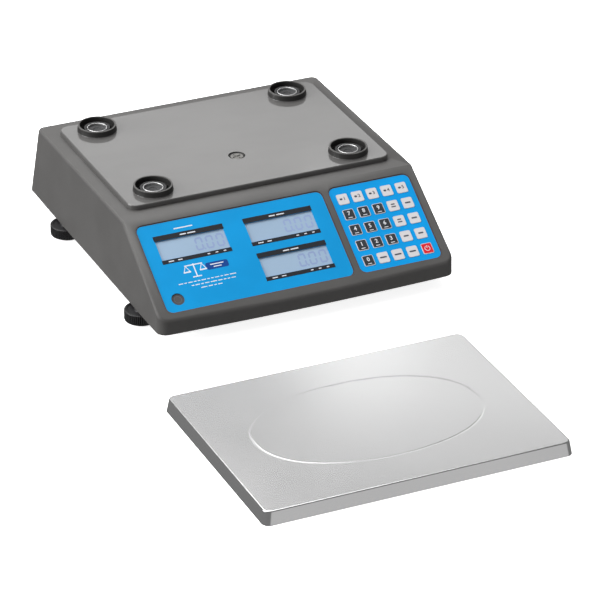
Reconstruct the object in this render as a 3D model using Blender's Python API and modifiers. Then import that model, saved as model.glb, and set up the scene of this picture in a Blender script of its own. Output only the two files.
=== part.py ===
"""A bench scale with three displays, a 25-key pad and a lift-off stainless platter.

Run with: blender --background --python part.py
Metres, +Z up. The scale faces -Y. The platter lies on the bench in front of it, upside up.
"""
import math

import bmesh
import bpy
from mathutils import Matrix, Vector

mm = 0.001

# ---------------------------------------------------------------- gaps
GAP = 0.3 * mm              # between pieces that only touch
SLIP = 0.5 * mm             # around pieces that drop into a pocket
EMBED = 1 * mm              # pieces that are joined reach into each other by this
THROUGH = 60 * mm           # a cutter this long goes right through any wall

# ---------------------------------------------------------------- housing
TOP_W = 332 * mm            # width across the top edges
SIDE_DRAFT = 2 * mm         # each side leans out by this, top to bottom
TOP_D = 249 * mm            # from the fold to the back edge of the top
TOP_Z = 100 * mm            # height of the ledge around the deck
BOTTOM_Z = 16 * mm          # height of the bottom rim above the bench
BACK_RUN = 25 * mm          # the back wall leans out by this
PANEL_ANGLE = math.radians(33)
PANEL_LENGTH = 123 * mm     # from the fold to the front lip, at the corners
FRONT_BOW = 4.5 * mm        # how far the lip bulges in the middle, along the panel
FRONT_CORNER_R = 10 * mm
BACK_CORNER_R = 7 * mm
EDGE_R = 2.5 * mm
WALL = 2.5 * mm
PANEL_WALL = 4.5 * mm
LIP_SLICES = 10

# deck: the raised top with four collared holes
LEDGE_SIDE = 16 * mm
LEDGE_FRONT = 17.5 * mm
LEDGE_BACK = 20.5 * mm
DECK_H = 5.5 * mm
DECK_CORNER_R = 11 * mm
DECK_EDGE_R = 1.2 * mm
DECK_ROOT = 4 * mm          # the deck's form reaches this far into the shell

# posts and collars: places in from the deck's edges, sizes out from the post
POST_FROM_SIDE = 37.5 * mm
POST_FROM_FRONT = 28.5 * mm
POST_FROM_BACK = 22.5 * mm
POST_R = 14.0 * mm
POST_RIM = 2.5 * mm
POST_CUP_DEPTH = 4.0 * mm
POST_DROP = 3.5 * mm        # post rim below the collar rim
POST_ROOM = 5.0 * mm        # between a post and its collar
COLLAR_RIM = 1.6 * mm
COLLAR_FOOT = 2.7 * mm
COLLAR_H = 6.5 * mm
INSERT_H = 2.0 * mm

# the middle of the posts is x = 0, y = 0, and the rest is placed from it
DECK_W = TOP_W - 2 * LEDGE_SIDE
POST_X = DECK_W / 2 - POST_FROM_SIDE
POST_Y = (TOP_D - LEDGE_FRONT - LEDGE_BACK - POST_FROM_FRONT - POST_FROM_BACK) / 2
DECK_FRONT_Y = -(POST_Y + POST_FROM_FRONT)
DECK_BACK_Y = POST_Y + POST_FROM_BACK
FOLD_Y = DECK_FRONT_Y - LEDGE_FRONT
BACK_TOP_Y = FOLD_Y + TOP_D
BACK_BOTTOM_Y = BACK_TOP_Y + BACK_RUN
BOTTOM_W = TOP_W + 2 * SIDE_DRAFT
DECK_Z = TOP_Z + DECK_H
RIM_Z = DECK_Z + COLLAR_H
COLLAR_BORE_R = POST_R + POST_ROOM
POST_CUP_R = POST_R - POST_RIM

# printed panels and what sits under them
POCKET_TOP = 9 * mm         # from the fold down to the pockets
POCKET_END = 6.5 * mm       # from the pockets down to the lip
POCKET_SIDE_LEFT = 9.5 * mm
POCKET_SIDE_RIGHT = 8.5 * mm
POCKET_RIB = 6 * mm         # between the two pockets
KEYPAD_W = 95.5 * mm
POCKET_DEPTH = 1.6 * mm
KEYPAD_POCKET_DEPTH = 2.7 * mm
POCKET_R = 8 * mm
FILM = 0.8 * mm
FILM_SINK = 0.7 * mm        # film face below the panel face
CIRCUIT = 0.5 * mm
GLASS_SINK = 0.15 * mm      # glasses below the pocket's floor
POCKET_LENGTH = PANEL_LENGTH - POCKET_TOP - POCKET_END
KEYPAD_X = (TOP_W / 2 - POCKET_SIDE_RIGHT - KEYPAD_W, TOP_W / 2 - POCKET_SIDE_RIGHT)
DISPLAY_X = (POCKET_SIDE_LEFT - TOP_W / 2, KEYPAD_X[0] - POCKET_RIB)

# displays: centre across, centre down the panel
LCD_SIZE = (78 * mm, 34 * mm, 5.5 * mm)
LCD_PLACES = {
    "lcd_weight": (DISPLAY_X[0] + 54.5 * mm, POCKET_TOP + 32.8 * mm),
    "lcd_unit_price": (DISPLAY_X[1] - 57.2 * mm, POCKET_TOP + 32.5 * mm),
    "lcd_total_price": (DISPLAY_X[1] - 57.0 * mm, POCKET_TOP + 75.8 * mm),
}
BOARD_T = 1.6 * mm
BOARD_BORDER = 5 * mm       # display board beyond the glasses
VIAL_AT = (DISPLAY_X[0] + 17 * mm, POCKET_TOP + 92 * mm)
VIAL_R = 7.5 * mm
VIAL_H = LCD_SIZE[2] - 0.5 * mm

# keys
KEY_W = 12.2 * mm
KEY_L = 12.8 * mm
KEY_H = 1.0 * mm
KEY_R = 1.6 * mm
KEY_PROUD = 0.35 * mm       # key face above the film
KEY_PITCH_X = 17.05 * mm
KEY_PITCH_DOWN = 19.3 * mm
KEYS_DOWN = 1.0 * mm        # the block of keys sits this far below the pocket's middle
KEY_CLEARANCE = 0.25 * mm
KEY_ROWS = (
    ("m1", "m2", "m3", "m4", "m5"),
    ("7", "8", "9", "lookup_up", "save"),
    ("4", "5", "6", "lookup_down", "zero"),
    ("1", "2", "3", "unit", "tare"),
    ("0", "clear", "enter", "print", "power"),
)

# levelling feet
FOOT_FROM_SIDE = 8 * mm     # stud in from the bottom edge
FOOT_FROM_FOLD = 34 * mm
FOOT_FROM_BACK = 94 * mm
PAD_R = 14 * mm
PAD_H = 1.9 * mm
WHEEL_R = 18.5 * mm
WHEEL_TOP_Z = 13.8 * mm
WHEEL_FOOT_CHAMFER = 2.3 * mm
WHEEL_TOP_CHAMFER = 1.4 * mm
HUB_R = 7 * mm
STUD_R = 3.0 * mm
STUD_ABOVE = 28 * mm        # stud above the housing's bottom rim
STUD_CLEARANCE = 0.25 * mm
FOOT_BOSS_WALL = 2.15 * mm
FOOT_BOSS_H = 17 * mm
FOOT_BOSS_INWARD = 0.6 * mm
FOOT_X = BOTTOM_W / 2 - FOOT_FROM_SIDE
FOOT_FRONT_Y = FOLD_Y - FOOT_FROM_FOLD
FOOT_BACK_Y = BACK_BOTTOM_Y - FOOT_FROM_BACK
HUB_TOP_Z = BOTTOM_Z - 0.4 * mm

# base tray, battery and door
TRAY_Z = BOTTOM_Z + 1 * mm
TRAY_T = 3 * mm
TRAY_TOP_Z = TRAY_Z + TRAY_T
BATTERY_SIZE = (101 * mm, 70 * mm, 47 * mm)
BATTERY_FROM_SIDE = 104 * mm
BATTERY_FROM_BACK = 55 * mm
DOOR_BORDER = 4.5 * mm      # door beyond the battery, each side
DOOR_T = 2.2 * mm
BOX_WALL = 2 * mm
BOX_H = 22 * mm
THUMB_NOTCH = (22 * mm, 12 * mm, 2 * mm)
BATTERY_TAB = (6 * mm, 1 * mm, 7 * mm)
BATTERY_TAB_X = (-36 * mm, -24 * mm)
BATTERY_AT = (TOP_W / 2 - BATTERY_FROM_SIDE, BACK_TOP_Y - BATTERY_FROM_BACK)
DOOR_SIZE = (BATTERY_SIZE[0] + 2 * DOOR_BORDER, BATTERY_SIZE[1] + 2 * DOOR_BORDER)

# weighing train, hung below the deck
CELL_SIZE = (130 * mm, 30 * mm, 22 * mm)
CELL_EYE_R = 8.0 * mm
CELL_EYE_GAP = 22 * mm
CELL_SLOT = 5 * mm
CELL_PAD = 30 * mm          # clamped length at each end
TOWER_FOOT = (20 * mm, 16 * mm, 4 * mm)     # wider and deeper than the tower by this
FRAME_T = 7 * mm
FRAME_SPINE_W = 46 * mm
FRAME_RAIL_W = 22 * mm
FRAME_ROOM = 11.8 * mm      # between the frame and the deck's underside
FRAME_DROP = 0.7 * mm       # between the cell and the frame's pad, for the travel
PAD_STEP = 1.5 * mm
FRAME_Z = DECK_Z - WALL - FRAME_ROOM - FRAME_T
CELL_Z = FRAME_Z - PAD_STEP - FRAME_DROP - CELL_SIZE[2]

# sealing screw in the deck
SEAL_Y = -40.5 * mm
SEAL_WELL_R = 9.2 * mm
SEAL_WELL_DEPTH = 3.4 * mm
SEAL_WELL_WALL = 2.8 * mm
SEAL_MARGIN = 2.2 * mm      # head to well
SEAL_HEAD_H = 2.4 * mm
SEAL_SHANK_R = 2.5 * mm
SEAL_CLEARANCE = 0.2 * mm
SEAL_SHANK_L = 11 * mm
SEAL_BOSS_H = 15 * mm
SEAL_SLOT = (11 * mm, 1.6 * mm, 1.0 * mm)
SEAL_SLOT_TURN = math.radians(20)

# main board, inlet and rear display
MAIN_BOARD = (105 * mm, 86 * mm, BOARD_T)
MAIN_BOARD_AT = (71 * mm - TOP_W / 2, BACK_TOP_Y - 57 * mm, TRAY_TOP_Z + 10 * mm)
MAIN_BOARD_CHIPS = {        # width, depth, height, then across and back from the board's middle
    "processor": (14 * mm, 14 * mm, 2.5 * mm, 0, 0),
    "converter": (10 * mm, 8 * mm, 3 * mm, 22 * mm, -14 * mm),
    "regulator": (16 * mm, 6 * mm, 12 * mm, -36 * mm, 28 * mm),
    "reservoir": (12 * mm, 12 * mm, 18 * mm, -36 * mm, -24 * mm),
    "header": (30 * mm, 6 * mm, 9 * mm, 18 * mm, 34 * mm),
    "sounder": (12 * mm, 12 * mm, 8 * mm, 38 * mm, 10 * mm),
}
STANDOFF_R = 4 * mm
STANDOFF_INSET = 6 * mm
INLET_FROM_BACK = 15 * mm
INLET_ABOVE = 24 * mm       # above the housing's bottom rim
INLET_R = 6 * mm
INLET_FLANGE_R = 8.5 * mm
INLET_FLANGE_T = 1.5 * mm
INLET_L = 16 * mm
INLET_BORE_R = 3.2 * mm
INLET_BORE_L = 9 * mm
INLET_Y = BACK_TOP_Y - INLET_FROM_BACK
INLET_Z = BOTTOM_Z + INLET_ABOVE
REAR_POCKET = (230 * mm, 46 * mm)
REAR_CORNER_R = 4 * mm
REAR_DOWN = 35 * mm         # panel centre, down the back wall from its top edge
REAR_GLASS = (62 * mm, 24 * mm)
REAR_GLASS_PITCH = 72 * mm
REAR_GLASS_H = 5 * mm
REAR_BOARD_BORDER = (3 * mm, 5 * mm)

# platter
PLATTER_W = 330 * mm
PLATTER_D = 248 * mm
PLATTER_H = 14.5 * mm
PLATTER_T = 1.0 * mm
PLATTER_FLARE = 2.2 * mm
PLATTER_CORNER_R = 8 * mm
PLATTER_EDGE_R = 3.5 * mm
RING_INSET = (45 * mm, 49 * mm)     # pressed oval, in from the sides and from front and back
RING_R = 3.0 * mm
RING_DEPTH = 0.45 * mm
MOUTH_ROOM = 0.2 * mm       # the pan's open mouth is cut this far inside its skirt
PLATTER_ACROSS = -45 * mm   # where it lies: across from the scale's middle
PLATTER_AHEAD = 112.3 * mm  # and ahead of the lip
CARRIER_BORDER = 20 * mm    # pan beyond its carrier
CARRIER_T = 3 * mm
CARRIER_FRAME = 56 * mm     # width of the carrier's frame
CARRIER_CORNER_R = 12 * mm
LOCATOR_MARGIN = 1.5 * mm   # locator to cup
LOCATOR_TAPER = 0.8 * mm
LOCATOR_CLEAR_Z = 0.8 * mm  # locator ends above the skirt's edge

STEPS = 32                  # facets on a small round piece


# ---------------------------------------------------------------- helpers
def start_clean():
    """Empty the scene and make the two collections."""
    for old in list(bpy.data.objects):
        bpy.data.objects.remove(old, do_unlink=True)
    made = []
    for name in ("counting_scale", "cutters"):
        collection = bpy.data.collections.new(name)
        bpy.context.scene.collection.children.link(collection)
        made.append(collection)
    return made


PARTS, CUTTERS = start_clean()


def material(name, rgb, roughness, metallic=0.0):
    found = bpy.data.materials.get(name)
    if found:
        return found
    made = bpy.data.materials.new(name)
    made.use_nodes = True
    shader = made.node_tree.nodes["Principled BSDF"]
    shader.inputs["Base Color"].default_value = (*rgb, 1.0)
    shader.inputs["Roughness"].default_value = roughness
    shader.inputs["Metallic"].default_value = metallic
    made.diffuse_color = (*rgb, 1.0)
    return made


GREY_ABS = ("grey_abs", (0.145, 0.143, 0.14), 0.3)
DARK_ABS = ("dark_abs", (0.04, 0.04, 0.042), 0.5)
BLUE_FILM = ("blue_film", (0.013, 0.33, 0.70), 0.3)
RUBBER = ("rubber", (0.012, 0.012, 0.013), 0.8)
STEEL = ("brushed_steel", (0.62, 0.62, 0.61), 0.32, 1.0)
CAST = ("cast_aluminium", (0.66, 0.66, 0.67), 0.4, 1.0)
BOARD = ("circuit_board", (0.02, 0.13, 0.06), 0.5)
GLASS = ("display_glass", (0.38, 0.52, 0.68), 0.15)
WHITE_KEY = ("white_key", (0.78, 0.77, 0.78), 0.4)
DARK_KEY = ("dark_key", (0.045, 0.05, 0.055), 0.4)
RED_KEY = ("red_key", (0.75, 0.035, 0.045), 0.4)


def take(obj, name, collection=None):
    """Name an object, move it into its collection and return it."""
    obj.name = name
    obj.data.name = name
    for owner in list(obj.users_collection):
        owner.objects.unlink(obj)
    (collection or CUTTERS).objects.link(obj)
    if collection is None:
        obj.hide_render = True
        obj.display_type = "WIRE"
    return obj


def as_part(obj, name, finish):
    take(obj, name, PARTS)
    obj.hide_render = False
    obj.display_type = "TEXTURED"
    obj.data.materials.clear()
    obj.data.materials.append(material(*finish))
    return obj


def slab(name, size, at=(0, 0, 0), radius=0.0, turn=(0, 0, 0), segments=3):
    """A block centred on `at`, its upright edges rounded."""
    bpy.ops.mesh.primitive_cube_add(size=1, location=at, rotation=turn)
    obj = bpy.context.object
    bm = bmesh.new()
    bm.from_mesh(obj.data)
    bmesh.ops.scale(bm, vec=size, verts=bm.verts)
    if radius > 0:
        upright = [e for e in bm.edges if abs(e.verts[0].co.z - e.verts[1].co.z) > size[2] / 2]
        bmesh.ops.bevel(bm, geom=upright, offset=radius, segments=segments, profile=0.5, affect="EDGES")
    bm.to_mesh(obj.data)
    bm.free()
    return take(obj, name)


def rod(name, radius, height, at=(0, 0, 0), turn=(0, 0, 0), steps=STEPS, top_radius=None):
    """A cylinder, or a cone, standing on `at` before it is turned."""
    top = radius if top_radius is None else top_radius
    bpy.ops.mesh.primitive_cone_add(vertices=steps, radius1=radius, radius2=top, depth=height,
                                    location=at, rotation=turn)
    obj = bpy.context.object
    obj.data.transform(Matrix.Translation((0, 0, height / 2)))
    return take(obj, name)


def turned(name, profile, at, steps=STEPS):
    """Turn a half outline of (radius, height) points about Z."""
    mesh = bpy.data.meshes.new(name)
    points = [(r, 0, z) for r, z in profile]
    mesh.from_pydata(points, [(i, i + 1) for i in range(len(points) - 1)], [])
    obj = bpy.data.objects.new(name, mesh)
    bpy.context.scene.collection.objects.link(obj)
    obj.location = at
    screw = obj.modifiers.new("turn", "SCREW")
    screw.steps = steps
    screw.render_steps = steps
    screw.use_merge_vertices = True
    screw.merge_threshold = 0.00001
    screw.use_smooth_shade = False
    screw.use_normal_calculate = True
    return take(obj, name)


def combine(target, other, operation):
    cut = target.modifiers.new(other.name, "BOOLEAN")
    cut.object = other
    cut.operation = operation
    cut.solver = "EXACT"
    return target


def add(target, *others):
    for other in others:
        combine(target, other, "UNION")
    return target


def cut(target, *others):
    for other in others:
        combine(target, other, "DIFFERENCE")
    return target


def round_edges(obj, width, segments=2, angle=40, above=-1.0):
    """Round the edges sharper than an angle, leaving those that reach down to a height."""
    bm = bmesh.new()
    bm.from_mesh(obj.data)
    weight = bm.edges.layers.float.new("bevel_weight_edge")
    for edge in bm.edges:
        sharp = edge.calc_face_angle(0) > math.radians(angle)
        high = max(v.co.z for v in edge.verts) > above
        edge[weight] = 1.0 if sharp and high else 0.0
    bm.to_mesh(obj.data)
    bm.free()
    bevel = obj.modifiers.new("edges", "BEVEL")
    bevel.width = width
    bevel.segments = segments
    bevel.limit_method = "WEIGHT"
    return obj


def four_corners(x, y):
    """Name and place of each corner, front first."""
    for depth, side_y in (("front", -y), ("back", y)):
        for side, side_x in (("left", -x), ("right", x)):
            yield f"{depth}_{side}", side_x, side_y


# ---------------------------------------------------------------- panel placing
PANEL_UP = Vector((0, math.cos(PANEL_ANGLE), math.sin(PANEL_ANGLE)))
PANEL_OUT = Vector((0, -math.sin(PANEL_ANGLE), math.cos(PANEL_ANGLE)))
PANEL_TURN = (PANEL_ANGLE, 0, 0)


def on_panel(x, down, out=0.0):
    """A point on the sloping panel: across, down from the fold, out along its normal."""
    return Vector((x, FOLD_Y, TOP_Z)) - PANEL_UP * down + PANEL_OUT * out


BACK_LEAN = math.atan2(BACK_BOTTOM_Y - BACK_TOP_Y, TOP_Z - BOTTOM_Z)
REAR_TURN = (-(math.pi / 2 - BACK_LEAN), 0, 0)
REAR_OUT = Vector((0, math.cos(BACK_LEAN), math.sin(BACK_LEAN)))
REAR_DOWNWARD = Vector((0, math.sin(BACK_LEAN), -math.cos(BACK_LEAN)))


def on_back(x, down, out=0.0):
    """A point on the leaning back wall: across, down from its top edge, out along its normal."""
    return Vector((x, BACK_TOP_Y, TOP_Z)) + REAR_DOWNWARD * down + REAR_OUT * out


# ---------------------------------------------------------------- housing shape
def side_outline():
    """(y, z) corners of the housing's side, from the bottom of the back wall round to the lip."""
    lip = on_panel(0, PANEL_LENGTH)
    return [Vector((BACK_BOTTOM_Y, BOTTOM_Z)), Vector((BACK_TOP_Y, TOP_Z)), Vector((FOLD_Y, TOP_Z)),
            Vector((lip.y, lip.z)), Vector((lip.y, BOTTOM_Z))]


def inset(outline, walls):
    """Move each side of a closed outline inwards by its own wall and meet the sides again."""
    lines = []
    for i, wall in enumerate(walls):
        a, b = outline[i], outline[(i + 1) % len(outline)]
        along = (b - a).normalized()
        inwards = Vector((-along.y, along.x))
        lines.append((a + inwards * wall, along))
    corners = []
    for i, (point, along) in enumerate(lines):
        before, before_along = lines[i - 1]
        cross = before_along.x * along.y - before_along.y * along.x
        gap = point - before
        step = (gap.x * along.y - gap.y * along.x) / cross
        corners.append(before + before_along * step)
    return corners


def outline_block(name, outline, half_width):
    """Stretch a (y, z) outline along X and return it as a mesh object."""
    curve = bpy.data.curves.new(name, "CURVE")
    curve.dimensions = "2D"
    curve.fill_mode = "BOTH"
    curve.extrude = half_width
    spline = curve.splines.new("POLY")
    spline.points.add(len(outline) - 1)
    for point, corner in zip(spline.points, outline):
        point.co = (corner.x, corner.y, 0, 1)
    spline.use_cyclic_u = True
    flat = bpy.data.objects.new(name, curve)
    bpy.context.scene.collection.objects.link(flat)
    bpy.context.view_layer.update()
    mesh = bpy.data.meshes.new_from_object(flat.evaluated_get(bpy.context.evaluated_depsgraph_get()))
    bpy.data.objects.remove(flat)
    mesh.transform(Matrix.Rotation(math.pi / 2, 4, "Z") @ Matrix.Rotation(math.pi / 2, 4, "X"))
    obj = bpy.data.objects.new(name, mesh)
    bpy.context.scene.collection.objects.link(obj)
    return take(obj, name)


def housing_block(name, walls, side_wall, corner_shrink=0.0):
    """The housing's outer form, or its hollow when the walls are above zero."""
    obj = outline_block(name, inset(side_outline(), walls), TOP_W / 2)
    bm = bmesh.new()
    bm.from_mesh(obj.data)
    bmesh.ops.remove_doubles(bm, verts=bm.verts, dist=1e-6)
    bmesh.ops.dissolve_limit(bm, angle_limit=0.01, verts=bm.verts, edges=bm.edges)
    front = min(v.co.y for v in bm.verts)
    back = max(v.co.y for v in bm.verts)
    for radius, y in ((FRONT_CORNER_R, front), (BACK_CORNER_R, back)):
        upright = [e for e in bm.edges
                   if abs(e.verts[0].co.x - e.verts[1].co.x) < 1e-6
                   and min(e.verts[0].co.y, e.verts[1].co.y) < y + 1e-5
                   and max(e.verts[0].co.y, e.verts[1].co.y) > y - 1e-5
                   and abs(e.verts[0].co.z - e.verts[1].co.z) > abs(e.verts[0].co.y - e.verts[1].co.y) * 1.5]
        bmesh.ops.bevel(bm, geom=upright, offset=radius - corner_shrink, segments=4, profile=0.5,
                        affect="EDGES")
    for i in range(1, LIP_SLICES):
        x = TOP_W * (i / LIP_SLICES - 0.5)
        bmesh.ops.bisect_plane(bm, geom=bm.verts[:] + bm.edges[:] + bm.faces[:],
                               plane_co=(x, 0, 0), plane_no=(1, 0, 0))
    lip_y = front + FRONT_CORNER_R
    for vert in bm.verts:
        bulge = FRONT_BOW * (1 - (2 * vert.co.x / TOP_W) ** 2)
        if vert.co.y < lip_y and vert.co.z > BOTTOM_Z + 5 * mm:
            vert.co -= PANEL_UP * bulge
        elif vert.co.y < lip_y:
            vert.co.y -= bulge * math.cos(PANEL_ANGLE)
        draft = (TOP_Z - vert.co.z) / (TOP_Z - BOTTOM_Z)
        half = (TOP_W + (BOTTOM_W - TOP_W) * draft) / 2 - side_wall
        vert.co.x *= half / (TOP_W / 2)
    bm.to_mesh(obj.data)
    bm.free()
    return obj


def deck_slab(name, shrink, top, bottom):
    """The raised deck's outline between two heights."""
    size = (DECK_W - 2 * shrink, DECK_BACK_Y - DECK_FRONT_Y - 2 * shrink, top - bottom)
    at = (0, (DECK_BACK_Y + DECK_FRONT_Y) / 2, (top + bottom) / 2)
    return slab(name, size, at, DECK_CORNER_R - shrink, segments=5)


def pocket(name, span, depth, grow=0.0):
    """A shallow tray shape in the panel between two places across it."""
    size = (span[1] - span[0] + 2 * grow, POCKET_LENGTH + 2 * grow, depth)
    at = on_panel((span[0] + span[1]) / 2, POCKET_TOP + POCKET_LENGTH / 2, -depth / 2)
    return slab(name, size, at, POCKET_R + grow, PANEL_TURN, 4)


def panel_pocket_cut(name, span, depth):
    """The same tray, standing out of the panel so that it cuts cleanly."""
    cutter = pocket(name, span, depth)
    cutter.data.transform(Matrix.Diagonal((1, 1, 2, 1)))
    cutter.location = cutter.location + PANEL_OUT * (depth / 2)
    return cutter


def upper_housing():
    shell = housing_block("upper_housing", (0, 0, 0, 0, 0), 0)
    round_edges(shell, EDGE_R, above=BOTTOM_Z + 1 * mm)
    deck = round_edges(deck_slab("deck_form", 0, DECK_Z, TOP_Z - DECK_ROOT), DECK_EDGE_R, angle=60)
    add(shell, deck)
    collars = []
    for corner, x, y in four_corners(POST_X, POST_Y):
        collars.append(rod(f"collar_{corner}", COLLAR_BORE_R + COLLAR_FOOT, COLLAR_H + EMBED,
                           (x, y, DECK_Z - EMBED), steps=48, top_radius=COLLAR_BORE_R + COLLAR_RIM))
    add(shell, *collars)
    walls = (WALL, WALL, PANEL_WALL, WALL, -10 * mm)
    cut(shell, housing_block("housing_hollow", walls, WALL, WALL))
    cut(shell, deck_slab("deck_hollow", WALL, DECK_Z - WALL, TOP_Z - DECK_ROOT - EMBED))
    add(shell, rod("seal_boss", SEAL_WELL_R + SEAL_WELL_WALL, SEAL_BOSS_H,
                   (0, SEAL_Y, DECK_Z - EMBED - SEAL_BOSS_H)))
    for corner, x, y in four_corners(POST_X, POST_Y):
        cut(shell, rod(f"bore_{corner}", COLLAR_BORE_R, THROUGH, (x, y, DECK_Z - THROUGH / 2), steps=48))
    well_z = DECK_Z - SEAL_WELL_DEPTH
    cut(shell, rod("seal_well", SEAL_WELL_R, THROUGH, (0, SEAL_Y, well_z)),
        rod("seal_hole", SEAL_SHANK_R + SEAL_CLEARANCE, THROUGH, (0, SEAL_Y, well_z - THROUGH / 2)))
    cut(shell, panel_pocket_cut("display_pocket", DISPLAY_X, POCKET_DEPTH),
        panel_pocket_cut("keypad_pocket", KEYPAD_X, KEYPAD_POCKET_DEPTH))
    for name, (x, down) in LCD_PLACES.items():
        size = (LCD_SIZE[0] + 2 * SLIP, LCD_SIZE[1] + 2 * SLIP, 4 * PANEL_WALL)
        cut(shell, slab(f"{name}_window", size, on_panel(x, down, -PANEL_WALL / 2), turn=PANEL_TURN))
    vial_foot = on_panel(*VIAL_AT, -2 * PANEL_WALL)
    cut(shell, rod("vial_hole", VIAL_R + SLIP, 4 * PANEL_WALL, vial_foot, PANEL_TURN))
    rear_size = (REAR_POCKET[0], REAR_POCKET[1], 2 * POCKET_DEPTH)
    cut(shell, slab("rear_pocket", rear_size, on_back(0, REAR_DOWN), REAR_CORNER_R, REAR_TURN))
    for i in (-1, 0, 1):
        size = (REAR_GLASS[0] + 2 * SLIP, REAR_GLASS[1] + 2 * SLIP, 8 * WALL)
        at = on_back(i * REAR_GLASS_PITCH, REAR_DOWN)
        cut(shell, slab(f"rear_window_{i + 1}", size, at, turn=REAR_TURN))
    inlet_foot = (BOTTOM_W / 2 - THROUGH / 2, INLET_Y, INLET_Z)
    cut(shell, rod("inlet_hole", INLET_R + GAP, THROUGH, inlet_foot, (0, math.pi / 2, 0)))
    return as_part(shell, "upper_housing", GREY_ABS)


# ---------------------------------------------------------------- base tray and feet
def tray_plate():
    """The base tray's plate, set inside the housing's walls."""
    front = side_outline()[-1].x + WALL + GAP
    back = BACK_BOTTOM_Y - WALL / math.cos(BACK_LEAN) - GAP - (TRAY_TOP_Z - BOTTOM_Z) * math.tan(BACK_LEAN)
    size = (BOTTOM_W - 2 * (WALL + GAP), back - front, TRAY_T)
    at = (0, (back + front) / 2, TRAY_Z + TRAY_T / 2)
    return slab("lower_housing", size, at, FRONT_CORNER_R - WALL, segments=4)


def foot_places():
    for depth, y in (("front", FOOT_FRONT_Y), ("back", FOOT_BACK_Y)):
        for side, x in (("left", -FOOT_X), ("right", FOOT_X)):
            yield f"{depth}_{side}", x, y


def lower_housing():
    tray = tray_plate()
    root_z = TRAY_Z + EMBED
    for corner, x, y in foot_places():
        at = (x - math.copysign(FOOT_BOSS_INWARD, x), y, root_z)
        boss_r = STUD_R + STUD_CLEARANCE + FOOT_BOSS_WALL
        add(tray, rod(f"foot_boss_{corner}", boss_r, FOOT_BOSS_H - EMBED, at, steps=24))
    for corner, x, y in four_corners(MAIN_BOARD[0] / 2 - STANDOFF_INSET, MAIN_BOARD[1] / 2 - STANDOFF_INSET):
        at = (MAIN_BOARD_AT[0] + x, MAIN_BOARD_AT[1] + y, root_z)
        add(tray, rod(f"standoff_{corner}", STANDOFF_R, MAIN_BOARD_AT[2] - GAP - root_z, at, steps=12))
    outer = (BATTERY_SIZE[0] + 2 * (SLIP + BOX_WALL), BATTERY_SIZE[1] + 2 * (SLIP + BOX_WALL), BOX_H)
    inner = (outer[0] - 2 * BOX_WALL, outer[1] - 2 * BOX_WALL, 4 * BOX_H)
    box_z = root_z + BOX_H / 2
    add(tray, slab("battery_box", outer, (*BATTERY_AT, box_z), 3 * mm))
    cut(tray, slab("battery_room", inner, (*BATTERY_AT, box_z), 1.5 * mm))
    door = (DOOR_SIZE[0] + 2 * GAP, DOOR_SIZE[1] + 2 * GAP, 2 * (DOOR_T + GAP))
    cut(tray, slab("door_seat", door, (*BATTERY_AT, TRAY_Z), 3 * mm))
    for corner, x, y in foot_places():
        cut(tray, rod(f"stud_hole_{corner}", STUD_R + STUD_CLEARANCE, THROUGH, (x, y, 0), steps=24))
    return as_part(tray, "lower_housing", DARK_ABS)


def feet():
    foot_z = PAD_H + GAP
    stud_top = BOTTOM_Z + STUD_ABOVE
    wheel = [(0, foot_z), (WHEEL_R - WHEEL_FOOT_CHAMFER, foot_z), (WHEEL_R, foot_z + WHEEL_FOOT_CHAMFER),
             (WHEEL_R, WHEEL_TOP_Z - WHEEL_TOP_CHAMFER), (WHEEL_R - WHEEL_TOP_CHAMFER, WHEEL_TOP_Z),
             (HUB_R, WHEEL_TOP_Z), (HUB_R, HUB_TOP_Z), (STUD_R, HUB_TOP_Z), (STUD_R, stud_top), (0, stud_top)]
    for corner, x, y in foot_places():
        as_part(rod(f"foot_pad_{corner}", PAD_R, PAD_H, (x, y, 0)), f"foot_pad_{corner}", RUBBER)
        as_part(turned(f"foot_wheel_{corner}", wheel, (x, y, 0)), f"foot_wheel_{corner}", DARK_ABS)


def battery_and_door():
    x, y = BATTERY_AT
    door = slab("battery_door", (*DOOR_SIZE, DOOR_T), (0, 0, 0), 3 * mm - GAP)
    door.data.transform(Matrix.Translation((0, -DOOR_SIZE[1] / 2, DOOR_T / 2)))
    door.location = (x, y + DOOR_SIZE[1] / 2, TRAY_Z)
    notch_y = y - DOOR_SIZE[1] / 2 + THUMB_NOTCH[1] / 2
    cut(door, slab("thumb_notch", THUMB_NOTCH, (x, notch_y, TRAY_Z)))
    as_part(door, "battery_door", DARK_ABS)
    battery_z = TRAY_Z + DOOR_T + GAP
    battery = slab("battery", BATTERY_SIZE, (x, y, battery_z + BATTERY_SIZE[2] / 2), 2 * mm)
    tab = (*BATTERY_TAB[:2], BATTERY_TAB[2] + EMBED)
    tab_z = battery_z + BATTERY_SIZE[2] - EMBED + tab[2] / 2
    for i, across in enumerate(BATTERY_TAB_X):
        add(battery, slab(f"battery_tab_{i}", tab, (x + across, y, tab_z)))
    as_part(battery, "battery", DARK_ABS)


# ---------------------------------------------------------------- weighing train
def load_cell():
    cell = slab("load_cell", CELL_SIZE, (0, 0, CELL_Z + CELL_SIZE[2] / 2))
    middle_z = CELL_Z + CELL_SIZE[2] / 2
    for i, x in enumerate((-CELL_EYE_GAP / 2, CELL_EYE_GAP / 2)):
        cut(cell, rod(f"cell_eye_{i}", CELL_EYE_R, THROUGH, (x, THROUGH / 2, middle_z), (math.pi / 2, 0, 0)))
    cut(cell, slab("cell_slot", (CELL_EYE_GAP, THROUGH, CELL_SLOT), (0, 0, middle_z)))
    return as_part(cell, "load_cell", CAST)


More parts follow.
